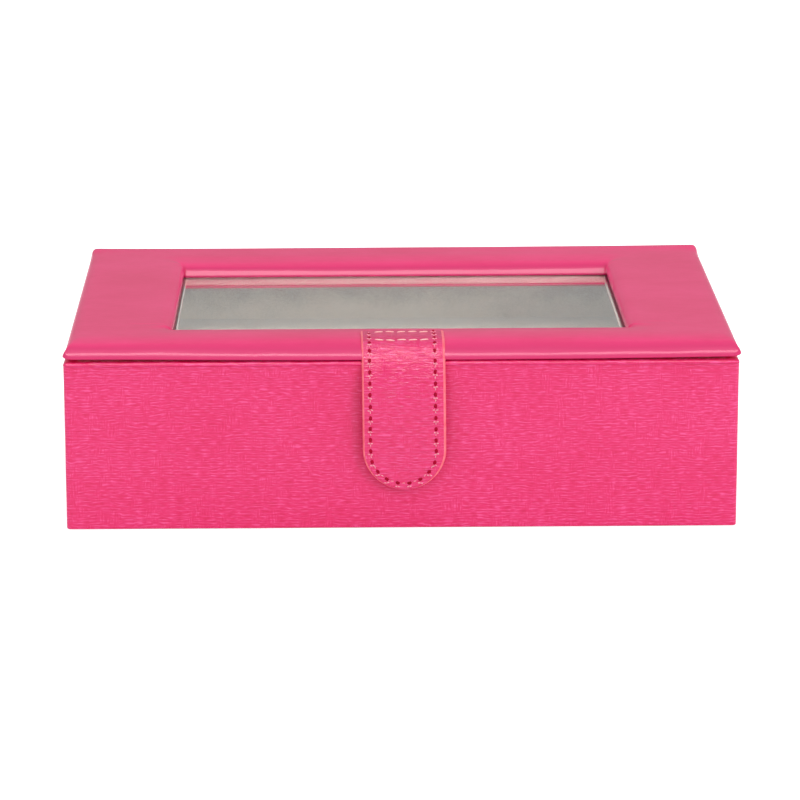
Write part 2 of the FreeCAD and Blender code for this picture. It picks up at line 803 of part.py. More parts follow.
def strap_layer_body(name, face, end_face):
    """One layer of the hanging strap, with its half-round tip and its rounded top edge."""
    body = doc.addObject("PartDesign::Body", name)
    sketch = body_sketch(body, name + "_outline", "XZ_Plane", -face)
    radius = strap_width / 2
    start_z = strap_tip + radius
    left = FreeCAD.Vector(strap_left.value, start_z.value, 0)
    right = FreeCAD.Vector(strap_right.value, start_z.value, 0)
    top_left = FreeCAD.Vector(strap_left.value, strap_top.value, 0)
    top_right = FreeCAD.Vector(strap_right.value, strap_top.value, 0)
    lowest = FreeCAD.Vector(strap_offset.value, strap_tip.value, 0)
    sketch.addGeometry(Part.LineSegment(top_left, left), False)
    sketch.addGeometry(Part.Arc(left, lowest, right), False)
    sketch.addGeometry(Part.LineSegment(right, top_right), False)
    sketch.addGeometry(Part.LineSegment(top_right, top_left), False)
    sketch.addConstraint(Sketcher.Constraint("Coincident", 0, 2, 1, 1))
    sketch.addConstraint(Sketcher.Constraint("Coincident", 1, 2, 2, 1))
    sketch.addConstraint(Sketcher.Constraint("Coincident", 2, 2, 3, 1))
    sketch.addConstraint(Sketcher.Constraint("Coincident", 3, 2, 0, 1))
    hold_point(sketch, 0, 1, strap_left, strap_top)
    hold_point(sketch, 0, 2, strap_left, start_z)
    hold_point(sketch, 2, 1, strap_right, start_z)
    hold_point(sketch, 2, 2, strap_right, strap_top)
    hold_distance(sketch, "DistanceY", 1, 3, start_z)
    pad = body.newObject("PartDesign::Pad", name + "_pad")
    pad.Profile = sketch
    bind(pad, "Length", strap_layer)

    def top_edge(start, end):
        level = near(start.z, end.z) and near(start.z, strap_top.value)
        return level and near(start.y, end.y) and near(start.y, end_face.value)

    round_edges(body, name + "_round", strap_round, top_edge)
    return body


def make_strap():
    """Two leather layers that hang in front of the base, with a magnet between them."""
    half_magnet = magnet_thick / 2
    pocket = rod(
        "magnet_pocket", magnet_radius + magnet_fit, magnet_thick,
        strap_offset, strap_middle - half_magnet, magnet_z, "Y",
    )
    leather_layer = strap_layer_body("strap_leather_blank", strap_middle, strap_face)
    backing_layer = strap_layer_body("strap_backing_blank", strap_back, strap_back)
    node("strap_leather", cut("strap_leather", leather_layer, [pocket]))
    node("strap_backing", cut("strap_backing", backing_layer, [pocket]))
    node("strap_magnet", rod(
        "strap_magnet", magnet_radius, magnet_thick,
        strap_offset, strap_middle - half_magnet, magnet_z, "Y",
    ))


# ---------------------------------------------------------------- hinges

def countersunk(name, x, level, length, upward):
    """A countersunk screw with its head's face at a level."""
    head = doc.addObject("Part::Cone", name + "_head")
    bind(head, "Height", head_depth)
    if upward:
        bind(head, "Radius1", screw_head)
        bind(head, "Radius2", screw_radius)
        place(head, x, screw_y, level)
        shank = rod(name + "_shank", screw_radius, length, x, screw_y, level, "Z")
    else:
        bind(head, "Radius1", screw_radius)
        bind(head, "Radius2", screw_head)
        place(head, x, screw_y, level - head_depth)
        shank = rod(name + "_shank", screw_radius, length, x, screw_y, level - length, "Z")
    return fuse(name, [head, shank])


def make_hinge(side, centre):
    """One brass butt hinge: two leaves, the pin and a lug that stops the lid when it stands open."""
    half_hinge = hinge_width / 2
    half_knuckle = knuckle_width / 2
    inner_end = half_knuckle + knuckle_gap
    outer_length = half_hinge - inner_end
    leaf_floor = base_height - hinge_leaf
    leaf_top = lid_floor

    base_screws = []
    lid_screws = []
    for number, x in enumerate(screw_places(centre), start=1):
        base_screws.append(countersunk(
            f"base_screw_{side}_{number}", x, leaf_floor + hinge_leaf, base_screw, False,
        ))
        lid_screws.append(countersunk(
            f"lid_screw_{side}_{number}", x, leaf_top - hinge_leaf, lid_screw, True,
        ))

    base_parts = [box(
        f"base_plate_{side}", (centre - half_hinge, centre + half_hinge),
        (leaf_front, half_depth), (leaf_floor, leaf_floor + hinge_leaf),
    )]
    outer_ends = ((centre - half_hinge, "a"), (centre + inner_end, "b"))
    for start, mark in outer_ends:
        base_parts.append(box(
            f"base_arm_{side}_{mark}", (start, start + outer_length),
            (half_depth - TOOL_MARGIN, axis_y), (leaf_floor, leaf_floor + hinge_leaf),
        ))
        base_parts.append(rod(
            f"base_knuckle_{side}_{mark}", barrel_radius, outer_length, start, axis_y, axis_z, "X",
        ))
    base_bore = rod(
        f"base_bore_{side}", pin_radius + pin_fit, hinge_width + TOOL_MARGIN * 2,
        centre - half_hinge - TOOL_MARGIN, axis_y, axis_z, "X",
    )
    base_blank = fuse(f"base_leaf_blank_{side}", base_parts)
    base_tools = [base_bore] + base_screws
    node(f"hinge_base_leaf_{side}", cut(f"hinge_base_leaf_{side}", base_blank, base_tools))

    knuckle_span = (centre - half_knuckle, centre + half_knuckle)
    lid_parts = [
        box(
            f"lid_plate_{side}", (centre - half_hinge, centre + half_hinge),
            (leaf_front, half_depth), (leaf_top - hinge_leaf, leaf_top),
        ),
        box(
            f"lid_arm_{side}", knuckle_span,
            (half_depth - TOOL_MARGIN, axis_y), (leaf_top - hinge_leaf, leaf_top),
        ),
        rod(f"lid_knuckle_{side}", barrel_radius, knuckle_width, knuckle_span[0], axis_y, axis_z, "X"),
        box(
            f"stop_lug_{side}", knuckle_span,
            (axis_y, axis_y + stop_reach), (axis_z - stop_half, axis_z + stop_half),
        ),
    ]
    lid_bore = rod(
        f"lid_bore_{side}", pin_radius + pin_play, hinge_width,
        centre - half_hinge, axis_y, axis_z, "X",
    )
    lid_blank = fuse(f"lid_leaf_blank_{side}", lid_parts)
    lid_tools = [lid_bore] + lid_screws
    node(f"hinge_lid_leaf_{side}", cut(f"hinge_lid_leaf_{side}", lid_blank, lid_tools))

    node(f"hinge_pin_{side}", rod(
        f"hinge_pin_{side}", pin_radius, hinge_width, centre - half_hinge, axis_y, axis_z, "X",
    ))
    return base_screws, lid_screws


def make_hinges():
    """Both hinges, with all screws of one kind kept together."""
    base_screws = []
    lid_screws = []
    for side, centre in hinge_centres():
        in_base, in_lid = make_hinge(side, centre)
        base_screws += in_base
        lid_screws += in_lid
    node("hinge_base_screws", group("hinge_base_screws", base_screws))
    node("hinge_lid_screws", group("hinge_lid_screws", lid_screws))


# ---------------------------------------------------------------- check and write

def check_document():
    """Stop if any object failed, or if a sub-part's shape isn't whole."""
    failed = []
    for item in doc.Objects:
        if "Invalid" in item.State or "Error" in item.State:
            failed.append(item.Name)
    if failed:
        raise RuntimeError("failed objects: " + ", ".join(failed))
    for item in nodes:
        if item.Shape.isNull() or not item.Shape.isValid() or not item.Shape.Solids:
            raise RuntimeError("bad shape: " + item.Label)


def write_parts():
    """Write each sub-part to its own file."""
    os.makedirs("parts", exist_ok=True)
    for item in nodes:
        item.Shape.exportStep(f"parts/{item.Label}.step")


make_base_leather()
make_base_boards()
make_underside_panel()
make_catch_plate()
make_tray_lining()
make_cufflink_rolls()
make_bay_lining()
make_drawer_shell()
make_drawer_leather()
make_drawer_lining()
make_drawer_dividers()
lid_core = make_lid_cover()
make_lid_core(lid_core)
make_lid_glazing()
make_strap_tab()
make_strap()
make_hinges()
doc.recompute()
check_document()
write_parts()
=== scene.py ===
import math

import bmesh
import bpy
import numpy as np
from mathutils import Matrix, Vector


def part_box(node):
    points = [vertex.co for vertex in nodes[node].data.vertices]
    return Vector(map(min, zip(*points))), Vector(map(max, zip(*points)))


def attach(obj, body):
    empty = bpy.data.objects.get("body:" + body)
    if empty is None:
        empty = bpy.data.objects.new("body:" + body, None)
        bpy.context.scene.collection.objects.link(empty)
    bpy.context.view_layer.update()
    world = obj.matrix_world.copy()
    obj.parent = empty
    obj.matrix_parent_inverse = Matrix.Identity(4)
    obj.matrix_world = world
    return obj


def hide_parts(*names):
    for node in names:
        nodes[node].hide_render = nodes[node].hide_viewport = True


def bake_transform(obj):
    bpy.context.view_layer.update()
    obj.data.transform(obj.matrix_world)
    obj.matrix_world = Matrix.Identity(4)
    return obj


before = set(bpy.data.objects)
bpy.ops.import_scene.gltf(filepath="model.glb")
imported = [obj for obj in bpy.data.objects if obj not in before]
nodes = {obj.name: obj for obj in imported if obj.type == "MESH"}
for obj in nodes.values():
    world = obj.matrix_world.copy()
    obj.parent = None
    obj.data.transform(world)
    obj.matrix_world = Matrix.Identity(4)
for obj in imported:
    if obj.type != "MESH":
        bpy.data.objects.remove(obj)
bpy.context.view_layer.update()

# Shapes are worked out in millimetres and put into Blender in metres.
MM = 0.001


def span(node):
    """A CAD node's lowest and highest corner, in millimetres."""
    low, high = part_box(node)
    return np.array(low) / MM, np.array(high) / MM


# ---- sizes taken from the frame

lid_low, lid_high = span("lid_leather")
glass_low, glass_high = span("lid_glass")
tab_high = span("strap_tab")[1]
strap_low, strap_high = span("strap_leather")
backing_high = span("strap_backing")[1]

LID_FLOOR = lid_low[2]
LID_CREST = lid_high[2] - LID_FLOOR
GLASS_OVERLAP = 4.5
WINDOW_LOW = glass_low[:2] + GLASS_OVERLAP
WINDOW_HIGH = glass_high[:2] - GLASS_OVERLAP
STRAP_MIDDLE = (strap_low[0] + strap_high[0]) / 2
STRAP_WIDTH = strap_high[0] - strap_low[0]
STRAP_TIP = strap_low[2]
STRAP_FACE = strap_low[1]
STRAP_THICK = backing_high[1] - strap_low[1]

# ---- camera

PHOTO_SIDE = 800
SENSOR = 36.0
FOCAL_PIXELS = 3698.645
CAMERA_PLACE = Vector((-18.482, -1141.749, 297.628)) * MM
CAMERA_YAW = 0.0168177
CAMERA_PITCH = 0.2374943
CAMERA_ROLL = -0.0016907


def make_camera():
    """The photograph's view: a long lens, a little to the left of the box and above it."""
    data = bpy.data.cameras.new("camera")
    data.sensor_width = SENSOR
    data.lens = FOCAL_PIXELS * SENSOR / PHOTO_SIDE
    data.clip_start = 0.05
    data.clip_end = 20.0
    ahead = Vector((
        math.sin(CAMERA_YAW) * math.cos(CAMERA_PITCH),
        math.cos(CAMERA_YAW) * math.cos(CAMERA_PITCH),
        -math.sin(CAMERA_PITCH),
    ))
    level = Vector((math.cos(CAMERA_YAW), -math.sin(CAMERA_YAW), 0))
    upward = level.cross(ahead)
    right = level * math.cos(CAMERA_ROLL) + upward * math.sin(CAMERA_ROLL)
    up = upward * math.cos(CAMERA_ROLL) - level * math.sin(CAMERA_ROLL)
    turn = Matrix((right, up, -ahead)).transposed()
    camera = bpy.data.objects.new("camera", data)
    camera.matrix_world = Matrix.Translation(CAMERA_PLACE) @ turn.to_4x4()
    bpy.context.scene.collection.objects.link(camera)
    bpy.context.scene.camera = camera


make_camera()

# ---- materials


def linear(shade):
    """An sRGB colour, 0 to 255, as Blender's linear one."""
    values = []
    for value in shade:
        share = value / 255
        values.append(share / 12.92 if share <= 0.04045 else ((share + 0.055) / 1.055) ** 2.4)
    return (*values, 1.0)


class Nodes:
    """A tree of shader nodes, with short calls that add to it and give back an output."""

    def __init__(self, tree):
        self.tree = tree

    def feed(self, socket, value):
        """Set an input, or link it to another node's output."""
        if isinstance(value, bpy.types.NodeSocket):
            self.tree.links.new(value, socket)
        else:
            socket.default_value = value

    def add(self, kind, inputs=None, **settings):
        """A node with its settings and with each input set or linked."""
        node = self.tree.nodes.new(kind)
        for name, value in settings.items():
            setattr(node, name, value)
        for socket, value in (inputs or {}).items():
            self.feed(node.inputs[socket], value)
        return node

    def place(self):
        """The point's place in the part's own frame, in metres."""
        return self.add("ShaderNodeTexCoord").outputs["Object"]

    def unrolled(self):
        """The point's place on a strip laid flat: across it, nothing, and along it, in metres."""
        across, along, _ = self.parts(self.add("ShaderNodeUVMap").outputs["UV"])
        return self.joined(across, 0.0, along)

    def parts(self, vector):
        """A vector's x, y and z."""
        return self.add("ShaderNodeSeparateXYZ", {0: vector}).outputs

    def joined(self, x, y, z=0.0):
        """A vector from its x, y and z."""
        return self.add("ShaderNodeCombineXYZ", {0: x, 1: y, 2: z}).outputs[0]

    def work_out(self, operation, one, other=0.0, **settings):
        """A number worked out from one or two others."""
        return self.add("ShaderNodeMath", {0: one, 1: other}, operation=operation, **settings).outputs[0]

    def noise(self, where, size, detail=2.0, rough=0.5):
        """Noise whose features are as long as size says along each axis, in millimetres."""
        scale = tuple(1 / (length * MM) for length in size)
        mapped = self.add("ShaderNodeMapping", {"Vector": where, "Scale": scale})
        node = self.add("ShaderNodeTexNoise", {
            "Vector": mapped.outputs[0], "Scale": 1.0, "Detail": detail, "Roughness": rough,
        })
        return node.outputs["Fac"]

    def remap(self, value, low, high, to_low=0.0, to_high=1.0, smooth=False):
        """A value spread from one range to another."""
        node = self.add("ShaderNodeMapRange", {
            "Value": value, "From Min": low, "From Max": high, "To Min": to_low, "To Max": to_high,
        })
        if smooth:
            node.interpolation_type = "SMOOTHSTEP"
        return node.outputs[0]

    def blend(self, factor, one, other):
        """A number between two, by a factor."""
        return self.add("ShaderNodeMix", {0: factor, 2: one, 3: other}, data_type="FLOAT").outputs[0]

    def mixed(self, factor, one, other):
        """A colour between two, by a factor."""
        return self.add("ShaderNodeMix", {0: factor, 6: one, 7: other}, data_type="RGBA").outputs[2]

    def ramp(self, value, *stops):
        """Colours along a value, each stop being a place and an sRGB colour."""
        node = self.add("ShaderNodeValToRGB", {0: value})
        row = node.color_ramp.elements
        while len(row) < len(stops):
            row.new(0.5)
        for element, (place, shade) in zip(row, stops):
            element.position = place
            element.color = linear(shade)
        return node.outputs[0]


class Surface(Nodes):
    """A material round one Principled shader."""

    def __init__(self, name, roughness, **settings):
        self.material = bpy.data.materials.new(name)
        self.material.use_nodes = True
        super().__init__(self.material.node_tree)
        self.shader = self.tree.nodes["Principled BSDF"]
        self.set("Roughness", roughness)
        for socket, value in settings.items():
            self.set(socket.replace("_", " "), value)

    def set(self, socket, value):
        """Set or link one of the shader's inputs."""
        self.feed(self.shader.inputs[socket], value)

    def tint(self, value, *stops):
        """Colour the shader along a value."""
        self.set("Base Color", self.ramp(value, *stops))

    def relief(self, *layers, coated=False):
        """Bump layers, each a height, its depth in millimetres and its strength."""
        normal = None
        for height, depth, strength in layers:
            bump = self.add("ShaderNodeBump", {
                "Height": height, "Distance": depth * MM, "Strength": strength,
            })
            if normal is not None:
                self.feed(bump.inputs["Normal"], normal)
            normal = bump.outputs[0]
        self.set("Normal", normal)
        if coated:
            self.set("Coat Normal", normal)


# The base's leather.
GRAIN_SHADES = ((0.38, (224, 6, 90)), (0.45, (231, 20, 102)), (0.52, (235, 34, 112)), (0.62, (245, 76, 146)))
GRAIN_PITCH = 0.9  # from one printed line to the next
GRAIN_DRIFT = 0.9  # how far the lines wander to either side
DRIFT_ACROSS = (2.2, 2.2, 9)  # how soon they wander sideways, and up and down
DRIFT_UP = (10, 10, 2.2)
LEVEL_LINE = (2.5, 2.5, 0.28)  # size of a level line, and of an upright one
UPRIGHT_LINE = (0.28, 0.28, 1.8)
UPRIGHT_PATCH = (4, 4, 5)  # size of a patch where upright lines show
PATCH_NOISE = (0.52, 0.66)  # they begin and end between these levels of the patches' noise
PATCH_SHARE = (0.04, 0.5)  # share of upright lines outside a patch and inside one
EVEN_SHARE = (0.34, 0.3)  # how much of the level and upright lines is evenly spaced
SLOW_TONE = (30, 30, 14)  # size of the slow changes of tone, and their share
SLOW_SHARE = 0.1
SHADOW_INSIDE = 0.3  # the painted shadow of the strap is full up to this far outside its edge
SHADOW_OUTSIDE = 2.4  # and gone this far outside it
# Strength of the painted strap shadow, which also scales the rim's dullness.
MARK_STRENGTH = 0.22
# Colour of the painted strap shadow.
STRAP_SHADOW_SHADE = (226, 0, 78)
SHADOW_DEPTH_RANGE = (-74, -70)  # it is on the front wall, in front of these places along y
SHADOW_DULLNESS = 0.7  # how much of the rim's dullness the painted strap shadow has
RIM_DULL = (51.18, 51.35)  # the leather is unpolished above these heights, under the lid
DULL_COAT = 0.1  # weight of its polish there


def painted_strap_shadow(made):
    """Painted shadow of the strap on the base's front: full under it, fading just outside its edge."""
    x, y, z = made.parts(made.place())
    radius = STRAP_WIDTH / 2 * MM
    across = made.work_out("SUBTRACT", x, STRAP_MIDDLE * MM)
    below = made.work_out("SUBTRACT", z, STRAP_TIP * MM + radius)
    flat = made.joined(across, made.work_out("MINIMUM", below, 0.0))
    distance = made.add("ShaderNodeVectorMath", {0: flat}, operation="LENGTH").outputs["Value"]
    inside, outside = radius + SHADOW_INSIDE * MM, radius + SHADOW_OUTSIDE * MM
    near = made.remap(distance, inside, outside, MARK_STRENGTH, 0.0, smooth=True)
    front = made.remap(y, SHADOW_DEPTH_RANGE[0] * MM, SHADOW_DEPTH_RANGE[1] * MM, 1.0, 0.0)
    return made.work_out("MULTIPLY", near, front)


def grain_lines(made, where, axis):
    """Evenly spaced lines across an axis."""
    turns = made.work_out("MULTIPLY", made.parts(where)[axis], 2 * math.pi / (GRAIN_PITCH * MM))
    return made.remap(made.work_out("SINE", turns), -1, 1, 0.34, 0.66)


def cross_grain(name, flat_strip=False, roughness=0.4, coat=0.7, coat_roughness=0.3, depth=0.16):
    """Leather printed with short level lines, crossed by fainter upright ones in places."""
    made = Surface(name, roughness, Specular_IOR_Level=0.42, Coat_Weight=coat, Coat_Roughness=coat_roughness)
    where = made.unrolled() if flat_strip else made.place()
    drifts = []
    for size in (DRIFT_ACROSS, DRIFT_UP):
        drifts.append(made.remap(made.noise(where, size, 1.0), 0, 1, -GRAIN_DRIFT * MM, GRAIN_DRIFT * MM))
    shift = made.joined(drifts[0], 0.0, drifts[1])
    bent = made.add("ShaderNodeVectorMath", {0: where, 1: shift}, operation="ADD").outputs[0]
    level = made.blend(EVEN_SHARE[0], made.noise(bent, LEVEL_LINE, 1.0), grain_lines(made, bent, 2))
    upright = made.blend(EVEN_SHARE[1], made.noise(bent, UPRIGHT_LINE, 1.0), grain_lines(made, bent, 0))
    patches = made.remap(made.noise(where, UPRIGHT_PATCH, 1.5), *PATCH_NOISE, *PATCH_SHARE, smooth=True)
    grain = made.blend(patches, level, upright)
    skin = made.ramp(made.blend(SLOW_SHARE, grain, made.noise(where, SLOW_TONE)), *GRAIN_SHADES)
    if not flat_strip:
        # Painted shadow of the strap: a darker crimson colour under and just beside it, with less coat
        # there.
        strap_shade = painted_strap_shadow(made)
        skin = made.mixed(strap_shade, skin, linear(STRAP_SHADOW_SHADE))
        on_rim = made.remap(made.parts(where)[2], RIM_DULL[0] * MM, RIM_DULL[1] * MM, 0.0, MARK_STRENGTH)
        dull = made.work_out("MAXIMUM", made.work_out("MULTIPLY", strap_shade, SHADOW_DULLNESS), on_rim)
        made.set("Coat Weight", made.remap(dull, 0.0, MARK_STRENGTH, coat, DULL_COAT))
    made.set("Base Color", skin)
    made.set("Roughness", made.remap(grain, 0.3, 0.7, roughness + 0.1, roughness - 0.05))
    made.relief((grain, depth, 0.8), coated=True)
    return made.material


# The lid's leather.
LID_SHADES = ((0.36, (240, 32, 112)), (0.5, (245, 38, 118)), (0.66, (250, 44, 124)))
# Colour of the painted shade on the lid's front-facing slopes.
PAINTED_SLOPE_SHADE = (220, 28, 106)
PAINTED_SLOPE_RANGE = (-0.17, -0.5)  # painted shade: the leather is coloured darker as it turns to face the front, between these y parts of its normal
LID_TONE = (34, 26, 20)  # sizes of its changes of tone, its pores and its dimples
LID_PORES = (0.42, 0.42, 0.42)
LID_DIMPLES = (3.2, 1.7, 2.0)


def smooth_leather(name):
    """Smooth, softly polished leather with a faint pebble, slow changes of tone and painted shade on its
    slopes that face the front.
    """
    made = Surface(name, 0.44, Specular_IOR_Level=0.5, Coat_Weight=0.6, Coat_Roughness=0.18)
    where = made.place()
    tone = made.noise(where, LID_TONE, 3.0, 0.55)
    pores = made.noise(where, LID_PORES)
    dimples = made.noise(where, LID_DIMPLES, 2.5, 0.55)
    skin = made.ramp(made.blend(0.3, tone, dimples), *LID_SHADES)
    # Painted shade: slopes that face the front are coloured darker.
    backward = made.parts(made.add("ShaderNodeTexCoord").outputs["Normal"])[1]
    turned = made.remap(backward, *PAINTED_SLOPE_RANGE)
    made.set("Base Color", made.mixed(turned, skin, linear(PAINTED_SLOPE_SHADE)))
    made.set("Roughness", made.remap(tone, 0.3, 0.7, 0.49, 0.42))
    made.relief((dimples, 0.07, 0.35), (pores, 0.03, 0.3))
    return made.material


def suede(name, dark, light, nap=0.55, painted_shade_heights=None):
    """Short-napped suede cloth, which may have painted shade, darker upwards between two heights."""
    made = Surface(name, 0.92, Specular_IOR_Level=0.15, Sheen_Weight=nap, Sheen_Roughness=0.45)
    where = made.place()
    fibres = made.noise(where, (0.35, 0.35, 0.35), 3.0, 0.65)
    strokes = made.noise(where, (14, 9, 11), 2.5, 0.6)
    shade = made.blend(0.36, fibres, strokes)
    # Painted shade: the cloth is coloured darker towards the top of this range.
    if painted_shade_heights:
        lean = made.remap(made.parts(where)[2], painted_shade_heights[0] * MM, painted_shade_heights[1] * MM, 0.16, -0.2)
        shade = made.work_out("ADD", shade, lean)
    made.tint(shade, (0.36, dark), (0.64, light))
    made.relief((fibres, 0.12, 0.45))
    return made.material


def board(name, dark, light):
    """Grey fibreboard."""
    made = Surface(name, 0.85, Specular_IOR_Level=0.2)
    fibres = made.noise(made.place(), (1.8, 1.2, 0.5), 4.0, 0.65)
    made.tint(fibres, (0.3, dark), (0.7, light))
    made.relief((fibres, 0.08, 0.4))
    return made.material


def metal(name, dark, light, roughness):
    """Metal with fine drawn lines along the box's width."""
    made = Surface(name, roughness, Metallic=1.0)
    where = made.place()
    lines = made.noise(where, (6, 0.12, 0.12))
    wear = made.noise(where, (2.5, 2.5, 2.5), 3.0)
    made.tint(wear, (0.3, dark), (0.7, light))
    worn = made.blend(0.5, lines, wear)
    made.set("Roughness", made.remap(worn, 0.3, 0.7, roughness + 0.08, roughness - 0.08))
    made.relief((lines, 0.02, 0.3))
    return made.material


GLASS_TINT = (0.97, 1.0, 0.985, 1.0)
GLASS_SHADOW = (0.9, 0.93, 0.92, 1.0)


def clear_glass(name):
    """Float glass that lets lamp light straight through."""
    made = Surface(name, 0.0, IOR=1.5, Transmission_Weight=1.0, Base_Color=GLASS_TINT)
    path = made.add("ShaderNodeLightPath")
    open_way = made.add("ShaderNodeBsdfTransparent", {0: GLASS_SHADOW})
    mixed = made.add("ShaderNodeMixShader", {
        0: path.outputs["Is Shadow Ray"], 1: made.shader.outputs[0], 2: open_way.outputs[0],
    })
    made.feed(made.tree.nodes["Material Output"].inputs["Surface"], mixed.outputs[0])
    return made.material


def thread(name, dark, light):
    """Twisted waxed thread."""
    made = Surface(name, 0.45, Specular_IOR_Level=0.4)
    twist = made.noise(made.place(), (0.25, 0.25, 0.25))
    made.tint(twist, (0.35, dark), (0.65, light))
    made.relief((twist, 0.05, 0.4))
    return made.material


def painted_edge(name, dark, light):
    """The strap's cut edge, sealed with several coats of paint."""
    made = Surface(name, 0.3, Specular_IOR_Level=0.5)
    coats = made.noise(made.place(), (1.6, 1.6, 1.6))
    made.tint(coats, (0.3, dark), (0.7, light))
    made.relief((coats, 0.08, 0.4))
    return made.material


skin_base = cross_grain("base_leather")
skin_strap = cross_grain(
    "strap_leather", flat_strip=True, roughness=0.34, coat=1.0, coat_roughness=0.2, depth=0.42,
)
skin_lid = smooth_leather("lid_leather")
lining = suede("grey_suede", (216, 200, 186), (252, 238, 225))
# The wall suede has painted shade, darker towards the top of the walls.
wall_cloth = suede("wall_suede", (168, 152, 138), (244, 228, 210), painted_shade_heights=(33.0, 47.0))
bay_cloth = suede("bay_cloth", (120, 116, 112), (150, 146, 141), nap=0.3)
under_cloth = suede("underside_felt", (58, 55, 56), (86, 82, 83), nap=0.3)
frame_cloth = suede("frame_suede", (240, 216, 208), (252, 236, 228))
trim_leather = thread("trim_leather", (226, 34, 92), (250, 62, 124))
grey_board = board("grey_board", (136, 130, 120), (176, 168, 156))
foam = suede("foam", (214, 206, 178), (236, 230, 208), nap=0.1)
brass = metal("brass", (188, 150, 84), (222, 188, 120), 0.28)
steel = metal("steel", (140, 140, 142), (186, 186, 188), 0.34)
magnet_skin = metal("magnet", (120, 120, 124), (160, 160, 164), 0.3)
glass = clear_glass("glass")
edge_paint = painted_edge("edge_paint", (248, 100, 118), (255, 128, 140))
thread_pink = thread("stitch_thread", (236, 120, 150), (255, 176, 192))
thread_cream = thread("row_thread", (246, 172, 172), (255, 212, 202))
# Painted shade: dark suede capsules stand in for the shadowed needle holes.
needle_hole_shade = suede("stitch_hole", (150, 0, 36), (186, 6, 54), nap=0.0)


def paint(material, *names):
    """Give CAD nodes their material."""
    for name in names:
        data = nodes[name].data
        data.materials.clear()
        data.materials.append(material)


def starting(*starts):
    """The CAD nodes whose names start like this."""
    return [name for name in nodes if name.startswith(starts)]


paint(skin_base, "base_leather", "drawer_front_leather", "strap_tab", "strap_leather", "strap_backing")
paint(skin_lid, "lid_leather")
paint(lining, "tray_floor_lining", "drawer_lining")
paint(wall_cloth, "tray_wall_lining")
paint(lining, *starting("cufflink_roll", "drawer_divider"))
paint(bay_cloth, "drawer_bay_lining")
paint(under_cloth, "underside_panel")
paint(frame_cloth, "lid_inner_frame")
paint(trim_leather, "lid_inner_trim")
paint(grey_board, *[name for name in nodes if name.endswith("_board")])
paint(grey_board, *starting("lid_rail", "drawer_wall"))
paint(foam, *starting("lid_pad"))
paint(brass, *starting("hinge"))
paint(steel, "catch_plate")
paint(magnet_skin, "strap_magnet")
paint(glass, "lid_glass")


# ---- mesh helpers

def new_piece(name, points, faces, materials, indices=None):
    """A smooth mesh object from points in millimetres."""
    data = bpy.data.meshes.new(name)
    data.from_pydata((np.asarray(points) * MM).tolist(), [], faces)
    for material in materials:
        data.materials.append(material)
    if indices is not None:
        data.polygons.foreach_set("material_index", indices)
    data.polygons.foreach_set("use_smooth", [True] * len(data.polygons))
    data.update()
    piece = bpy.data.objects.new(name, data)
    bpy.context.scene.collection.objects.link(piece)
    return piece


def grid_faces(rows, columns, wrap_rows=False, wrap_columns=False, start=0):
    """Quads of a grid whose points are stored row by row."""
    row = np.arange(rows if wrap_rows else rows - 1)
    column = np.arange(columns if wrap_columns else columns - 1)
    here, across = np.meshgrid(row, column, indexing="ij")
    below = (here + 1) % rows
    beside = (across + 1) % columns
    corners = [row * columns + column for row, column in (
        (here, across), (here, beside), (below, beside), (below, across),
    )]
    return (np.stack(corners, axis=-1).reshape(-1, 4) + start).tolist()


def smooth_step(value, low, high):
    """0 below low, 1 above high and an easy curve between."""
    share = np.clip((np.asarray(value, float) - low) / (high - low), 0, 1)
    return share * share * (3 - 2 * share)


def hill(value, middle, width):
    """1 at the middle, falling to nothing either side."""
    return np.exp(-((np.asarray(value, float) - middle) / width) ** 2)


def wave(along, seed, length, count=5):
    """A slow uneven wave between about -1 and 1."""
    random = np.random.default_rng(abs(seed))
    along = np.asarray(along, float)
    total = np.zeros_like(along)
    for number in range(count):
        turns = along * 2 * math.pi / (length * (0.6 + 0.5 * number))
        total += np.sin(turns + random.uniform(0, 6.28)) * random.uniform(0.5, 1)
    return total / count * 1.4


# ---- lid cover

LIP_RADIUS = 0.6  # turn from the underside to the padded edge
ROLL_RADIUS = 3.4  # upper part of the edge, which catches the light
ROLL_START = 65.0  # degrees from level where the lip becomes the roll
ROLL_END = 40.0  # degrees where the roll becomes the pad's slope
SLOPE_END = 6.7  # degrees where the slope has nearly become the crest
CREST_RISE = 0.5  # what the pad still gains over its flat middle
PAD_REACH = 14.0  # edge to the crest of the pad
LIP_ROWS = 14  # profile rows up to the top of the lip
SIDE_FIRMNESS = 2.7  # the side rails are flatter and turn down more sharply
WINDOW_SOFTNESS = 0.82  # the rail in front of the window slopes more gently
LID_CORNER = (2.1, 0.2)  # rounding of the cover's corners, and its growth inwards
WINDOW_CORNER = (0.3, 0.95)  # the same round the window
LID_WIDEN = -0.02  # each side of the cover lies this much further out than the CAD lid's
LID_FLARE = 0.0088  # and this much more for each millimetre towards the back
LID_SHIFT = 0.2  # the lid sits this much to the right
BACK_FILL = 0.6  # extra padding along the back edge
BACK_FILL_RISE = 0.0018  # how it grows for each millimetre to the right
BACK_FILL_ENDS = 0.3  # and towards both ends
FRONT_SAG = 0.58  # the front edge hangs lowest near the middle
SAG_MIDDLE = 8.0
SAG_REACH = 92.0
EAR_REACH = 1.05  # how far the pinched corner folds stand out
EAR_TUCK = 0.2  # and how far they draw in underneath
LIP_FORWARD = 2.0  # the window's back lip rolls this far over the glass
LIP_FORWARD_FALL = 0.009  # less this for each millimetre to the right
LIP_BELLY = 0.25  # its underside comes this much further
LIP_RISE = (0.1, 0.22)  # it also rises, and more towards its ends
CREASE_DEPTH = 0.07  # a crease runs out sideways from the window's front corners
STRAP_PRESS = 0.3  # the strap presses the pad down this much
BACK_RIDGE = (5.2, 4.2)  # how far from the back edge the extra padding is, and how wide
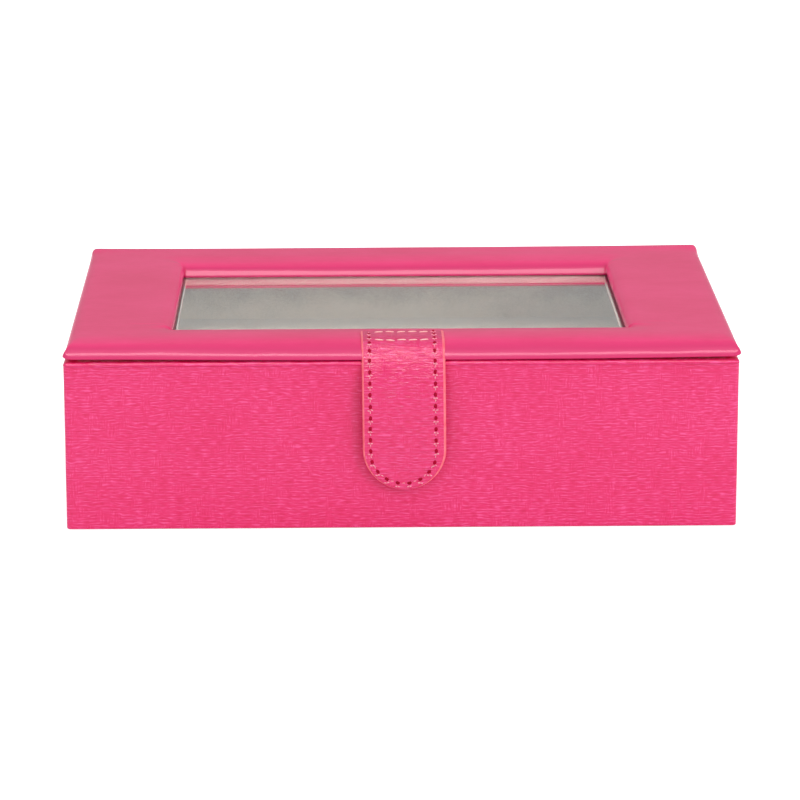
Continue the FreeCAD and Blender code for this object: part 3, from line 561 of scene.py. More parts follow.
EAR_SIZE = (3.0, 3.4)  # how far the corner folds reach along the front and along a side
PAD_WAVE = 0.05  # unevenness of the pad's top
EDGE_WAVE = (0.14, 0.09)  # of its front edge, forward and upward
WINDOW_WAVE = 0.06  # and of its edge round the window
RING = (150, 112, 9)  # points along the front, along a side and round a corner


def arc_rows(gap, height, radius, start, end, count):
    """Rows round an arc of the edge, from one slope to another, in degrees."""
    rows = []
    first = math.radians(start)
    for angle in np.radians(np.linspace(start, end, count))[1:]:
        rows.append((
            gap + radius * (math.sin(first) - math.sin(angle)),
            height + radius * (math.cos(angle) - math.cos(first)),
        ))
    return rows


def edge_profile():
    """Distance in from an edge and height over the underside, from the flat below to the crest."""
    rows = [(PAD_REACH, 0.0), (6.0, 0.0), (2.2, 0.0), (LIP_RADIUS, 0.0)]
    rows += arc_rows(*rows[-1], LIP_RADIUS, 180, ROLL_START, 11)
    rows += arc_rows(*rows[-1], ROLL_RADIUS, ROLL_START, ROLL_END, 9)
    gap, height = rows[-1]
    slope_fall = math.cos(math.radians(SLOPE_END)) - math.cos(math.radians(ROLL_END))
    slope_radius = (LID_CREST - CREST_RISE - height) / slope_fall
    rows += arc_rows(gap, height, slope_radius, ROLL_END, SLOPE_END, 11)
    gap, height = rows[-1]
    for share in np.linspace(0, 1, 6)[1:]:
        rows.append((gap + (PAD_REACH - gap) * share, height + CREST_RISE * (1 - (1 - share) ** 2)))
    return rows


def side_places(length, count):
    """Places along a side, closer together near its ends."""
    share = np.linspace(0, 1, count, endpoint=False)
    eased = share - 0.13 * np.sin(2 * math.pi * share)
    return eased * length


def oblong_ring(low, high, radius, along_x, along_y, corner):
    """Points round an oblong with round corners, starting at the front left."""
    sides = (
        ((low[0] + radius, low[1]), (1, 0), high[0] - low[0] - 2 * radius, along_x),
        ((high[0], low[1] + radius), (0, 1), high[1] - low[1] - 2 * radius, along_y),
        ((high[0] - radius, high[1]), (-1, 0), high[0] - low[0] - 2 * radius, along_x),
        ((low[0], high[1] - radius), (0, -1), high[1] - low[1] - 2 * radius, along_y),
    )
    points = []
    for (x, y), (step_x, step_y), length, count in sides:
        for distance in side_places(length, count):
            points.append((x + step_x * distance, y + step_y * distance))
        end = np.array((x + step_x * length, y + step_y * length))
        centre = end + radius * np.array((-step_y, step_x))
        for turn in np.linspace(0, math.pi / 2, corner, endpoint=False):
            out = np.array((step_y, -step_x)) * math.cos(turn) + np.array((step_x, step_y)) * math.sin(turn)
            points.append(tuple(centre + radius * out))
    return np.array(points)


def pad_height(gap):
    """The pad's height over the underside at a distance in from an edge."""
    rows = np.array(edge_profile()[LIP_ROWS - 1:])
    return np.interp(gap, rows[:, 0], rows[:, 1])


def firm_up(height, firmness):
    """Heights of a pad that turns down more sharply (over 1) or more gently (under 1)."""
    share = np.clip(height / LID_CREST, 0, 1)
    return LID_CREST * (1 - (1 - share) ** firmness)


def dress_lid(points, gap_out, gap_in):
    """Everything uneven about the pad: fuller back, flared sides, pinched corners, creases."""
    x, y, height = points[:, 0].copy(), points[:, 1].copy(), points[:, 2] - LID_FLOOR
    raised = smooth_step(height, 0.9, 2.6)
    back_gap = lid_high[1] - y
    front_gap = y - lid_low[1]
    side_gap = np.minimum(lid_high[0] - x, x - lid_low[0])
    past_window = np.abs(x) - WINDOW_HIGH[0]
    back_fill = BACK_FILL + BACK_FILL_RISE * x + BACK_FILL_ENDS * (x / lid_high[0]) ** 6
    inland = smooth_step(np.minimum(gap_out, gap_in), 0, 6)
    points[:, 2] += raised * hill(back_gap, *BACK_RIDGE) * back_fill
    points[:, 2] += raised * PAD_WAVE * wave(x + 0.6 * y, 3, 70) * inland
    points[:, 1] += EDGE_WAVE[0] * wave(x, 5, 46) * hill(front_gap, 0.6, 1.6)
    points[:, 2] += EDGE_WAVE[1] * wave(x, 8, 30) * hill(front_gap, 1.0, 1.6) * raised
    points[:, 2] += WINDOW_WAVE * wave(x, 11, 26) * hill(gap_in, 1.0, 1.8) * raised
    sag = np.maximum(1 - ((x - SAG_MIDDLE) / SAG_REACH) ** 2, 0) * (1 - smooth_step(front_gap, 2.2, 9))
    points[:, 2] -= FRONT_SAG * sag
    crease = hill(y, WINDOW_LOW[1] - 0.6, 0.9) * smooth_step(past_window, 0.5, 3)
    points[:, 2] -= CREASE_DEPTH * crease * (1 - smooth_step(past_window, 9, 19)) * raised
    lip = hill(np.maximum(gap_in - 1.4, 0), 0, 3.0) * smooth_step(y, WINDOW_HIGH[1] - 3, WINDOW_HIGH[1])
    lip *= 1 - smooth_step(past_window, -0.8, 2.5)
    belly = LIP_BELLY * (1 - smooth_step(height, 0.2, 1.7))
    points[:, 1] -= lip * (LIP_FORWARD + belly - LIP_FORWARD_FALL * x)
    points[:, 2] += lip * raised * (LIP_RISE[0] + LIP_RISE[1] * (x / WINDOW_HIGH[0]) ** 2)
    strap_side = np.abs(x - STRAP_MIDDLE) - STRAP_WIDTH / 2
    pressed = 1 - smooth_step(strap_side, -0.4, 1.4)
    pressed *= 1 - smooth_step(y, tab_high[1] - 0.3, tab_high[1] + 1.4)
    points[:, 2] -= STRAP_PRESS * pressed * raised * smooth_step(front_gap, 1.5, 8)
    near_corner = hill(side_gap, 0, EAR_SIZE[0]) * hill(front_gap, 0, EAR_SIZE[1])
    ear = near_corner * (EAR_REACH * hill(height, 1.1, 1.25) - EAR_TUCK * hill(height, 0, 0.5))
    points[:, 0] += np.sign(x) * ear
    spread = smooth_step(gap_in, 2, 12)
    points[:, 0] += spread * (np.sign(x) * (LID_WIDEN + LID_FLARE * y) + LID_SHIFT)
    return points


def outer_ring(index, gap, height):
    """A ring of the pad at a distance in from the lid's outer edges, and the height of each point."""
    low, high = lid_low[:2], lid_high[:2]
    ring = oblong_ring(low + gap, high - gap, LID_CORNER[0] + LID_CORNER[1] * gap, *RING)
    from_side, from_end = np.minimum(ring - low, high - ring).T
    if index < LIP_ROWS:
        side_share = smooth_step(from_end - from_side, 0.3, 5)
        return ring, height + side_share * (firm_up(height, SIDE_FIRMNESS) - height)
    end_fall = LID_CREST - pad_height(from_end)
    side_fall = LID_CREST - firm_up(pad_height(from_side), SIDE_FIRMNESS)
    return ring, LID_CREST - np.hypot(end_fall ** 2, side_fall ** 2) ** 0.5


def window_ring(gap, height):
    """A ring of the pad at a distance out from the window, and the height of each point."""
    middle = (WINDOW_LOW + WINDOW_HIGH) / 2
    half = (WINDOW_HIGH - WINDOW_LOW) / 2
    ring = oblong_ring(WINDOW_LOW - gap, WINDOW_HIGH + gap, WINDOW_CORNER[0] + WINDOW_CORNER[1] * gap, *RING)
    beyond_side, beyond_end = np.maximum(np.abs(ring - middle) - half, 0).T
    side_share = smooth_step(np.arctan2(beyond_side, beyond_end) * 2 / math.pi, 0.02, 0.8)
    front_share = (1 - smooth_step(ring[:, 1], WINDOW_LOW[1] - 1, WINDOW_LOW[1] + 6)) * (1 - side_share)
    level = height + side_share * (firm_up(height, SIDE_FIRMNESS) - height)
    return ring, level + front_share * (firm_up(height, WINDOW_SOFTNESS) - height)


def depth_inside(points, low, high):
    """How far points are inside an oblong, which is below 0 outside it."""
    return np.minimum(points[:, :2] - low[:2], high[:2] - points[:, :2]).min(axis=1)


def make_lid_cover():
    """The padded leather cover, wrapped round the rails outside and round the window."""
    rings = [outer_ring(index, *row) for index, row in enumerate(edge_profile())]
    rings += [window_ring(*row) for row in reversed(edge_profile())]
    points = []
    for ring, height in rings:
        level = np.broadcast_to(LID_FLOOR + height, len(ring))[:, None]
        points.append(np.hstack([ring, level]))
    columns = len(points[0])
    points = np.vstack(points)
    gap_out = depth_inside(points, lid_low, lid_high)
    gap_in = -depth_inside(points, WINDOW_LOW, WINDOW_HIGH)
    points = dress_lid(points, gap_out, gap_in)
    faces = [face[::-1] for face in grid_faces(len(rings), columns, wrap_rows=True, wrap_columns=True)]
    cover = new_piece("lid_cover", points, faces, [skin_lid])
    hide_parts("lid_leather")
    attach(cover, "lid")


make_lid_cover()

# ---- base cover

bay_low, bay_high = span("drawer_bay_lining")
base_low, base_high = span("base_leather")
COVER_EDGE = 0.9  # radius of the leather over the rim
COVER_FOOT = 0.5  # and under the bottom edge
COVER_SKIN = 0.95  # thickness of the leather on the walls
RIM_TURN = 5.8  # the leather goes this far in over the rim
RIM_UNDER = 50.0  # and lies on the boards at this height
FOOT_TURN = 5.0  # width turned in under the bottom
FOOT_LOW = 0.05  # its lower and upper face
FOOT_HIGH = 1.0
RIM_RISE = 0.32  # the rim is fuller than its boards along the front and sides
RIM_BEAD = 0.75  # the leather stands out this much at the front rim
RIM_BULGE = 0.5  # over a wall that already leans out this much
BEAD_FOOT = 49.3  # height where the bead begins
BULGE_FOOT = 44.0  # and where the wall begins to lean out
COVER_WIDEN = 0.2  # the cover stands proud at each end
FRONT_WAVE = 0.07  # unevenness of the front wall and its rim
END_WAVE = 0.06  # and of the end walls
LEAF_DEPTH = 1.4  # the hinges' leaves are pressed this deep into the back rim
COVER_RING = (140, 110, 6)  # points along the front, along a side and round a corner
SHARP_TURN = 50  # degrees between faces that meet at a sharp edge


def nearest(values, wanted):
    """Where in a row of values the one nearest to the wanted one is."""
    return int(np.argmin(np.abs(np.array(values) - wanted)))


def cover_levels():
    """Heights of the rows down the walls, with two at the drawer's mouth."""
    stops = (
        (base_high[2] - COVER_EDGE - 0.06, 6), (BEAD_FOOT, 8), (BULGE_FOOT, 10), (bay_high[2], 6),
        (bay_low[2], 4), (FOOT_LOW + COVER_FOOT + 0.3, 0),
    )
    levels = [stops[0][0]]
    for (top, count), (bottom, _) in zip(stops, stops[1:]):
        levels += list(np.linspace(top, bottom, count)[1:])
    return levels


def cover_rows(levels):
    """The leather's section: over the rim, down the wall, under the foot and back up inside."""
    top = base_high[2]
    rim = [
        (RIM_TURN, RIM_UNDER), (RIM_TURN, top - 0.3), (RIM_TURN - 0.1, top - 0.1), (RIM_TURN - 0.3, top),
        (4.4, top), (3.0, top), (1.6, top),
    ]
    for turn in np.linspace(math.pi / 2, 0, 8):
        rim.append((COVER_EDGE * (1 - math.cos(turn)), top - COVER_EDGE * (1 - math.sin(turn))))
    outside = [(0.0, level) for level in levels]
    foot = []
    for turn in np.linspace(0, math.pi / 2, 6):
        foot.append((COVER_FOOT * (1 - math.cos(turn)), FOOT_LOW + COVER_FOOT * (1 - math.sin(turn))))
    foot += [(2.5, FOOT_LOW), (FOOT_TURN, FOOT_LOW), (FOOT_TURN, FOOT_HIGH), (COVER_SKIN, FOOT_HIGH)]
    inside = [(COVER_SKIN, level) for level in levels[::-1]]
    return rim, outside, foot, inside + [(COVER_SKIN, RIM_UNDER)]


def dress_base(points, gap):
    """Soft unevenness, a fuller front rim and hollows for the hinges' leaves."""
    x, y, z = points[:, 0].copy(), points[:, 1].copy(), points[:, 2].copy()
    outer = 1 - smooth_step(gap, 0.3, np.where(z > RIM_UNDER + 0.05, 3.0, COVER_SKIN))
    front = hill(y, base_low[1], 2.0) * outer
    ends = hill(np.abs(x), base_high[0], 2.0) * outer
    on_rim = smooth_step(z, 46, 50.5)
    on_boards = smooth_step(z, RIM_UNDER, RIM_UNDER + 0.4)
    lifted = np.where(gap > COVER_SKIN, on_boards, smooth_step(z, 47, RIM_UNDER))
    points[:, 2] += lifted * RIM_RISE * (1 - smooth_step(y, 40, 62))
    points[:, 2] += on_rim * FRONT_WAVE * wave(x, 31, 41) * front
    bead = RIM_BULGE * smooth_step(z, BULGE_FOOT, 49.4) + RIM_BEAD * smooth_step(z, 49.5, 50.05)
    points[:, 1] -= front * (FRONT_WAVE * wave(x + 2 * z, 33, 64) + bead)
    points[:, 0] += np.sign(x) * ends * (COVER_WIDEN + END_WAVE * wave(y + 2 * z, 35, 57))
    for side in ("left", "right"):
        low, high = span(f"hinge_base_leaf_{side}")
        over_leaf = smooth_step(x, low[0] - 1.6, low[0]) * (1 - smooth_step(x, high[0], high[0] + 1.6))
        over_leaf *= smooth_step(y, low[1] - 0.8, low[1] + 0.1)
        points[:, 2] -= LEAF_DEPTH * over_leaf * smooth_step(z, RIM_UNDER + 0.3, base_high[2] - 0.2)
    return points


def make_base_cover():
    """The grained leather round the base's walls, over the rim and under the foot, open at the drawer."""
    levels = cover_levels()
    rim, outside, foot, inside = cover_rows(levels)
    rows = rim + outside + foot + inside
    first_out = len(rim)
    first_in = len(rim + outside + foot)
    along_x, along_y, corner = COVER_RING
    side_start = along_x + corner
    points = []
    gaps = []
    for number, (gap, height) in enumerate(rows):
        ring = oblong_ring(base_low[:2] + gap, base_high[:2] - gap, max(1.2 - 0.8 * gap, 0.25), *COVER_RING)
        side_y = ring[side_start:side_start + along_y, 1]
        mouth_columns = [side_start + nearest(side_y, edge) for edge in (bay_low[1], bay_high[1])]
        if first_out <= number < first_out + len(outside) or number >= first_in:
            ring[mouth_columns, 1] = (bay_low[1], bay_high[1])
        points.append(np.hstack([ring, np.full((len(ring), 1), height)]))
        gaps.append(np.full(len(ring), gap))
    columns = len(points[0])
    points = dress_base(np.vstack(points), np.concatenate(gaps))
    mouth_rows = [nearest(levels, edge) for edge in (bay_high[2], bay_low[2])]
    first, last = mouth_columns
    steps = range(mouth_rows[0], mouth_rows[1])

    def outer(row, column):
        return (first_out + row) * columns + column

    def inner(row, column):
        return (first_in + len(levels) - 1 - row) * columns + column

    opened = set()
    for row in steps:
        for column in range(first, last):
            opened |= {outer(row, column), inner(row + 1, column)}
    faces = [face for face in grid_faces(len(rows), columns, True, True) if face[0] not in opened]
    sides = [((row, column), (row, column + 1)) for column in range(first, last) for row in mouth_rows]
    sides += [((row, column), (row + 1, column)) for row in steps for column in (first, last)]
    for start, end in sides:
        faces.append([outer(*start), outer(*end), inner(*end), inner(*start)])
    cover = new_piece("base_cover", points, faces, [skin_base])
    tidy = bmesh.new()
    tidy.from_mesh(cover.data)
    bmesh.ops.recalc_face_normals(tidy, faces=tidy.faces)
    tidy.to_mesh(cover.data)
    tidy.free()
    cover.data.set_sharp_from_angle(angle=math.radians(SHARP_TURN))
    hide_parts("base_leather")
    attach(cover, "base")


make_base_cover()

# ---- strap

EDGE_WIDTH = 0.75  # width of the strap's rounded, painted edge
CROWN_EDGE = 0.26  # how much lower the face is at its edge
CROWN_REACH = (0.2, 2.2)  # distances in from the edge between which it rises
SEAM_DIP = 0.13  # the sewing draws the face in this much
STRAP_LEAN = 0.5  # the strap's tip hangs this much further right than its sewn end
STRAP_TILTS = (
    (0, 1), (6, 3), (9.5, 10), (12.5, 24), (15, 42), (17, 54), (19.5, 65), (24, 76), (30, 84), (38, 89.5),
    (46, 92), (54, 92.5), (64, 91),
)  # distance along the strap from its sewn end, and the slope there in degrees
STRAP_STEP = 0.4
FACE_POINTS = 110  # points across the strap's face
TIP_ROWS = 60
SEWN_LIFT = 0.8  # the sewn end's face over the lid's crest
SEWN_THICK = 0.85  # thickness of the sewn end
BOW_FROM = 22.0  # beyond this distance the strap settles back to the face of its tip


def strap_line():
    """The strap's outer face seen from the side, with its thickness: y, z and thickness."""
    distance = np.arange(0, 90, STRAP_STEP)
    slope = np.interp(distance, *np.array(STRAP_TILTS).T)
    slope = np.radians(np.convolve(np.pad(slope, 4, mode="edge"), np.ones(9) / 9, mode="valid"))
    y = tab_high[1] + 1.0 - np.concatenate([[0], np.cumsum(np.cos(slope[1:]) * STRAP_STEP)])
    z = LID_FLOOR + LID_CREST + SEWN_LIFT - np.concatenate([[0], np.cumsum(np.sin(slope[1:]) * STRAP_STEP)])
    kept = z >= STRAP_TIP
    distance, y, z = distance[kept], y[kept], z[kept]
    settle = smooth_step(distance, BOW_FROM, distance[-1])
    y = y + (STRAP_FACE - y[-1]) * settle
    thickness = SEWN_THICK + (STRAP_THICK - SEWN_THICK) * smooth_step(distance, 9, 22)
    return np.stack([y, z, thickness], axis=-1)


class StrapShape:
    """The strap laid flat, and where each flat point goes on the box."""

    def __init__(self):
        self.line = strap_line()
        steps = np.linalg.norm(np.diff(self.line[:, :2], axis=0), axis=1)
        self.length_at = np.concatenate([[0], np.cumsum(steps)])
        self.length = self.length_at[-1]
        direction = np.gradient(self.line[:, :2], axis=0)
        self.direction = direction / np.linalg.norm(direction, axis=1)[:, None]

    def follow(self, along, values):
        """A measure of the strap at places along it."""
        return np.interp(along, self.length_at, values)

    def half_width(self, along):
        """Half the strap's width, which closes in a half circle at the tip."""
        radius = STRAP_WIDTH / 2
        past = np.clip(along - (self.length - radius), 0, radius)
        return np.sqrt(np.maximum(radius ** 2 - past ** 2, 0))

    def at(self, across, along, depth):
        """A point at a place across and along the strip and at a depth below its face."""
        lean = STRAP_LEAN * (along / self.length - 0.5)
        return np.stack([
            STRAP_MIDDLE + across + lean,
            self.follow(along, self.line[:, 0]) - self.follow(along, self.direction[:, 1]) * depth,
            self.follow(along, self.line[:, 1]) + self.follow(along, self.direction[:, 0]) * depth,
        ], axis=-1)


strap = StrapShape()
SEAM_LEFT = STRAP_WIDTH / 2 - 2.35  # the sewing's distance left and right of the strap's middle
SEAM_RIGHT = STRAP_WIDTH / 2 - 3.1
SEAM_MIDDLE = (SEAM_RIGHT - SEAM_LEFT) / 2
SEAM_RADIUS = (SEAM_RIGHT + SEAM_LEFT) / 2
SEAM_TIP = 2.2  # from the sewing to the tip
SEAM_TURN = strap.length - SEAM_TIP - SEAM_RADIUS  # where along the strap it starts round the tip
SEAM_TOP = 1.2  # and where it starts at the sewn end
SEAM_PITCH = 3.42
SEAM_ROWS = (2.5, 10.2)  # two rows across the sewn end
ROW_STITCHES = 5
ROW_INSET = 1.3
THREAD_BELOW = 1.05  # the thread's ends come out this far below each needle hole
THREAD_ASIDE = 0.42  # and this far to either side
THREAD_TILT = 1.5  # turned this far, in radians
# Length, radius and depth under the strap's face.
SEAM_THREAD = (0.9, 0.14, 0.06)
SEAM_ENDS = (0.8, 0.22, 0.04)
SEAM_HOLE = (1.75, 0.6, 0.36)
ROW_THREAD = (2.9, 0.26, 0.0)
CAPSULE_SIDES = 8
CAPSULE_RINGS = 9


def seam_path():
    """The row of sewing down one side, round the tip and up the other, laid flat."""
    path = [(-SEAM_LEFT, along) for along in np.arange(SEAM_TOP, SEAM_TURN, 0.1)]
    for turn in np.linspace(0, math.pi, 160):
        path.append((SEAM_MIDDLE - SEAM_RADIUS * math.cos(turn), SEAM_TURN + SEAM_RADIUS * math.sin(turn)))
    path += [(SEAM_RIGHT, along) for along in np.arange(SEAM_TURN, SEAM_TOP, -0.1)]
    return np.array(path)


def spaced(path, pitch):
    """Places and directions every pitch or so along a flat path."""
    steps = np.linalg.norm(np.diff(path, axis=0), axis=1)
    travelled = np.concatenate([[0], np.cumsum(steps)])
    count = int(round(travelled[-1] / pitch))
    wanted = (np.arange(count) + 0.5) * travelled[-1] / count

    def at(distance):
        return np.array([np.interp(distance, travelled, path[:, axis]) for axis in (0, 1)])

    across, along = at(wanted)
    ahead_across, ahead_along = at(wanted + 0.2)
    return across, along, np.arctan2(ahead_across - across, ahead_along - along)


def seam_distance(across, along):
    """How far a flat point is from the sewing."""
    beyond = np.maximum(along - SEAM_TURN, 0)
    return np.abs(np.hypot(across - SEAM_MIDDLE, beyond) - SEAM_RADIUS)


def edge_shape():
    """The strap's section at one side: distance in from the edge and depth as a share, round the edge."""
    return [(0.5 * (1 - math.sin(turn)), (1 - math.cos(turn)) / 2) for turn in np.linspace(0, math.pi, 13)]


def strap_section(place, shares, edge):
    """Places across the strap and depths below its face, once round it: face, edge, back and edge."""
    half = float(strap.half_width(place))
    thick = float(strap.follow(place, strap.line[:, 2]))
    rim = min(EDGE_WIDTH, half * 0.9)
    across = shares * (half - rim)
    depth = SEAM_DIP * hill(seam_distance(across, place), 0, 0.5)
    depth += CROWN_EDGE * (1 - smooth_step(half - np.abs(across), *CROWN_REACH))
    side = []
    for inset, share in edge[1:-1]:
        side.append((half - inset * rim * 2, CROWN_EDGE + share * (thick - CROWN_EDGE)))
    back = [(value, thick) for value in across[::-4]]
    other_side = [(-out, deep) for out, deep in side[::-1]]
    return np.array(list(zip(across, depth)) + side + back + other_side)


def make_strap():
    """The strap in one piece, from its sewn end over the lid's edge to its round tip."""
    radius = STRAP_WIDTH / 2
    straight = np.arange(0, strap.length - radius, STRAP_STEP)
    tip = strap.length - radius + radius * np.sin(np.linspace(0, math.pi / 2, TIP_ROWS))
    rows = np.concatenate([straight, tip[:-1], [strap.length - 0.002]])
    shares = np.linspace(-1, 1, FACE_POINTS)
    edge = edge_shape()
    points = []
    flat = []
    for place in rows:
        across, depth = strap_section(place, shares, edge).T
        along = np.full(len(across), place)
        points.append(strap.at(across, along, depth))
        flat.append(np.stack([across, along], axis=-1))
    columns = len(points[0])
    last_row = columns * (len(rows) - 1)
    faces = grid_faces(len(rows), columns, wrap_columns=True)
    faces.append(list(range(columns)))
    faces.append(list(range(last_row, last_row + columns))[::-1])
    first_edge = len(shares) - 1
    first_back = first_edge + len(edge) - 1
    last_back = first_back + len(shares[::-4]) - 1
    kinds = []
    for face in faces:
        column = min(number % columns for number in face)
        on_edge = first_edge <= column < first_back or column >= last_back
        kinds.append(int(on_edge and len(face) == 4))
    piece = new_piece("strap_sewn", np.vstack(points), faces, [skin_strap, edge_paint], kinds)
    layer = piece.data.uv_layers.new(name="UVMap")
    order = np.array([loop.vertex_index for loop in piece.data.loops])
    layer.data.foreach_set("uv", (np.vstack(flat)[order] * MM).ravel())
    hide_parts("strap_leather", "strap_backing", "strap_tab")
    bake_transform(piece)


def capsules(name, places, size, material):
    """Short rounded bars laid along flat places on the strap, each sunk to a depth."""
    length, radius, depth = size
    stations = np.linspace(-1, 1, CAPSULE_RINGS)
    points = []
    faces = []
    for across, along, angle in places:
        start = len(points)
        for station in stations:
            girth = radius * math.sqrt(max(1 - abs(station) ** 2.6, 0.02))
            arch = depth + 0.35 * radius * station ** 2
            forward = station * length / 2
            for number in range(CAPSULE_SIDES):
                turn = 2 * math.pi * number / CAPSULE_SIDES
                side = girth * math.cos(turn)
                flat_across = across + math.sin(angle) * forward + math.cos(angle) * side
                flat_along = along + math.cos(angle) * forward - math.sin(angle) * side
                points.append(strap.at(flat_across, flat_along, arch - girth * math.sin(turn)))
        faces += grid_faces(len(stations), CAPSULE_SIDES, wrap_columns=True, start=start)
        faces.append(list(range(start, start + CAPSULE_SIDES))[::-1])
        faces.append(list(range(len(points) - CAPSULE_SIDES, len(points))))
    piece = new_piece(name, np.array(points), faces, [material])
    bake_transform(piece)


def make_stitches():
    """Thread and needle holes, the holes being dark capsules painted as their shade: round the strap's edge
    and in two rows across its sewn end.
    """
    random = np.random.default_rng(7)
    threads = []
    holes = []
    ends = []
    ahead = SEAM_PITCH / 2
    for across, along, angle in zip(*spaced(seam_path(), SEAM_PITCH)):
        jitter = random.uniform(-0.12, 0.12)
        threads.append((across, along, angle + random.uniform(-0.2, 0.2)))
        hole_across = across + math.sin(angle) * ahead + jitter * 0.5
        hole_along = along + math.cos(angle) * ahead + jitter
        holes.append((hole_across, hole_along, angle + random.uniform(-0.25, 0.25)))
        for side in (-1, 1):
            aside = THREAD_ASIDE + random.uniform(-0.15, 0.15)
            below = THREAD_BELOW + random.uniform(-0.15, 0.15)
            tilt = THREAD_TILT + random.uniform(-0.4, 0.4)
            ends.append((hole_across + side * aside, hole_along + below, side * tilt))
    capsules("strap_thread", threads, SEAM_THREAD, thread_pink)
    capsules("strap_thread_ends", ends, SEAM_ENDS, thread_pink)
    # The needle holes are painted shade: dark capsules on the strap's face.
    capsules("strap_needle_holes", holes, SEAM_HOLE, needle_hole_shade)
    rows = []
    width = SEAM_LEFT + SEAM_RIGHT - 2 * ROW_INSET
    for level in SEAM_ROWS:
        for number in range(ROW_STITCHES):
            across = ROW_INSET - SEAM_LEFT + width * (number + 0.5) / ROW_STITCHES
            along = level + random.uniform(-0.2, 0.2)
            rows.append((across, along, math.pi / 2 + random.uniform(-0.24, 0.24)))
    capsules("tab_thread", rows, ROW_THREAD, thread_cream)


make_strap()
make_stitches()

# ---- rolls

ROLL_ROWS = 120
ROLL_AROUND = 36
ROLL_FIT = (0.998, 0.985, 0.995)  # shares of the CAD roll that it fills along x, y and z
ROLL_SQUARE = (0.55, 0.6)  # how round its section is sideways and upward, with 1 for a circle
ROLL_CLOSING = 26  # how late it closes towards its ends
ROLL_SAG = 0.35  # the top is lowered this much
ROLL_UNEVEN = 0.1225  # and waves this much along the roll


def make_roll(name):
    """One padded suede roll: crowned, a little wider in the middle of its height, pulled in at the ends."""
    low, high = span(name)
    middle = (low + high) / 2
    half = (high - low) / 2
    points = []
    for station in np.linspace(-1, 1, ROLL_ROWS):
        end = max(1 - abs(station) ** ROLL_CLOSING, 0) ** 0.5
        closing = 0.25 + 0.75 * end
        uneven = ROLL_UNEVEN * end * wave(station * half[0], len(name) + int(low[1]), 34)
        for turn in np.linspace(0, 2 * math.pi, ROLL_AROUND, endpoint=False):
            side = math.copysign(abs(math.cos(turn)) ** ROLL_SQUARE[0], math.cos(turn))
            lift = math.copysign(abs(math.sin(turn)) ** ROLL_SQUARE[1], math.sin(turn))
            height = half[2] * (1 + lift * (0.6 + 0.4 * closing)) * ROLL_FIT[2]
            points.append((
                middle[0] + station * half[0] * ROLL_FIT[0],
                middle[1] + half[1] * ROLL_FIT[1] * side * closing,
                low[2] + height + max(lift, 0) * (uneven - ROLL_SAG),
            ))
    faces = grid_faces(ROLL_ROWS, ROLL_AROUND, wrap_columns=True)
    faces.append(list(range(ROLL_AROUND)))
    faces.append([len(points) - 1 - number for number in range(ROLL_AROUND)])
    piece = new_piece(name.replace("cufflink_roll", "padded_roll"), points, faces, [lining])
    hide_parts(name)
    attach(piece, "base")


for roll in sorted(starting("cufflink_roll")):
    make_roll(roll)

# ---- trim inside the lid

FRAME_REVEAL = 0.5  # how far the inner frame shows inside the window
SIGHT_INSET = np.array((-0.6, 0.2))  # and how much further at the sides, and at the front and back
FRAME_BOTTOM = 47.7  # height of the lower edge of the frame's suede
TRIM_BOTTOM = 46.7  # and of the piping's lower edge
PIPING_OUT = 0.9  # the piping's middle, outside the opening, and half its width
PIPING_REACH = 1.3
BAND_LEAN = 0.0035  # the band hangs lower to the left
BAND_HANGS = (46.8, 49.5)  # fully below the first height, and not at all over the second
TRIM_WAVE = 0.12  # unevenness of the frame's suede and piping
SIGHT_CORNER = 0.8  # rounding of the opening's corners
SIGHT_RING = (60, 44, 6)  # points along the front, along a side and round a corner


def make_sight_ring(name, section, material, slot, *replaced):
    """A ring round the inner frame's opening, from a section of distance outward and height."""
    low = WINDOW_LOW + FRAME_REVEAL + SIGHT_INSET
    high = WINDOW_HIGH - FRAME_REVEAL - SIGHT_INSET
    rings = []
    for out, height in section:
        ring = oblong_ring(low - out, high + out, SIGHT_CORNER + max(out, -0.5), *SIGHT_RING)
        rings.append(np.hstack([ring, np.full((len(ring), 1), height)]))
    points = np.vstack(rings)
    hanging = 1 - smooth_step(points[:, 2], *BAND_HANGS)
    points[:, 2] += TRIM_WAVE * wave(points[:, 0] + points[:, 1], 21, 38)
    points[:, 2] += hanging * BAND_LEAN * points[:, 0]
    faces = grid_faces(len(section), len(rings[0]), wrap_rows=True, wrap_columns=True)
    piece = new_piece(name, points, faces, [material])
    if replaced:
        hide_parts(*replaced)
    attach(piece, "lid")


def round_section(out, low, high, depth, count=14):
    """An upright oval section, between two heights and reaching out and in by its depth."""
    rows = []
    for turn in np.linspace(0, 2 * math.pi, count, endpoint=False):
        rows.append((out + depth * math.cos(turn), (low + high) / 2 + (high - low) / 2 * math.sin(turn)))
    return rows


def make_frame_lip():
    """The inner frame's suede, drawn down over its inner face and turned under."""
    under = span("lid_inner_frame")[0][2]
    top = glass_low[2] - 0.1
    section = [
        (-0.15, top), (-0.15, FRAME_BOTTOM + 0.4), (-0.05, FRAME_BOTTOM + 0.1), (0.3, FRAME_BOTTOM),
        (2.6, FRAME_BOTTOM), (2.9, FRAME_BOTTOM + 0.25), (2.8, under - 0.05), (0.0, under - 0.05),
        (-0.02, under + 0.3), (-0.02, top),
    ]
    make_sight_ring("lid_frame_lip", section, frame_cloth, "suede")


def make_piping():
    """The pink piping round the frame's opening."""
    section = round_section(PIPING_OUT, TRIM_BOTTOM, FRAME_BOTTOM + 0.05, PIPING_REACH)
    make_sight_ring("lid_inner_piping", section, trim_leather, "lid_leather", "lid_inner_trim")


make_frame_lip()
make_piping()

# ---- floor, backdrop and light

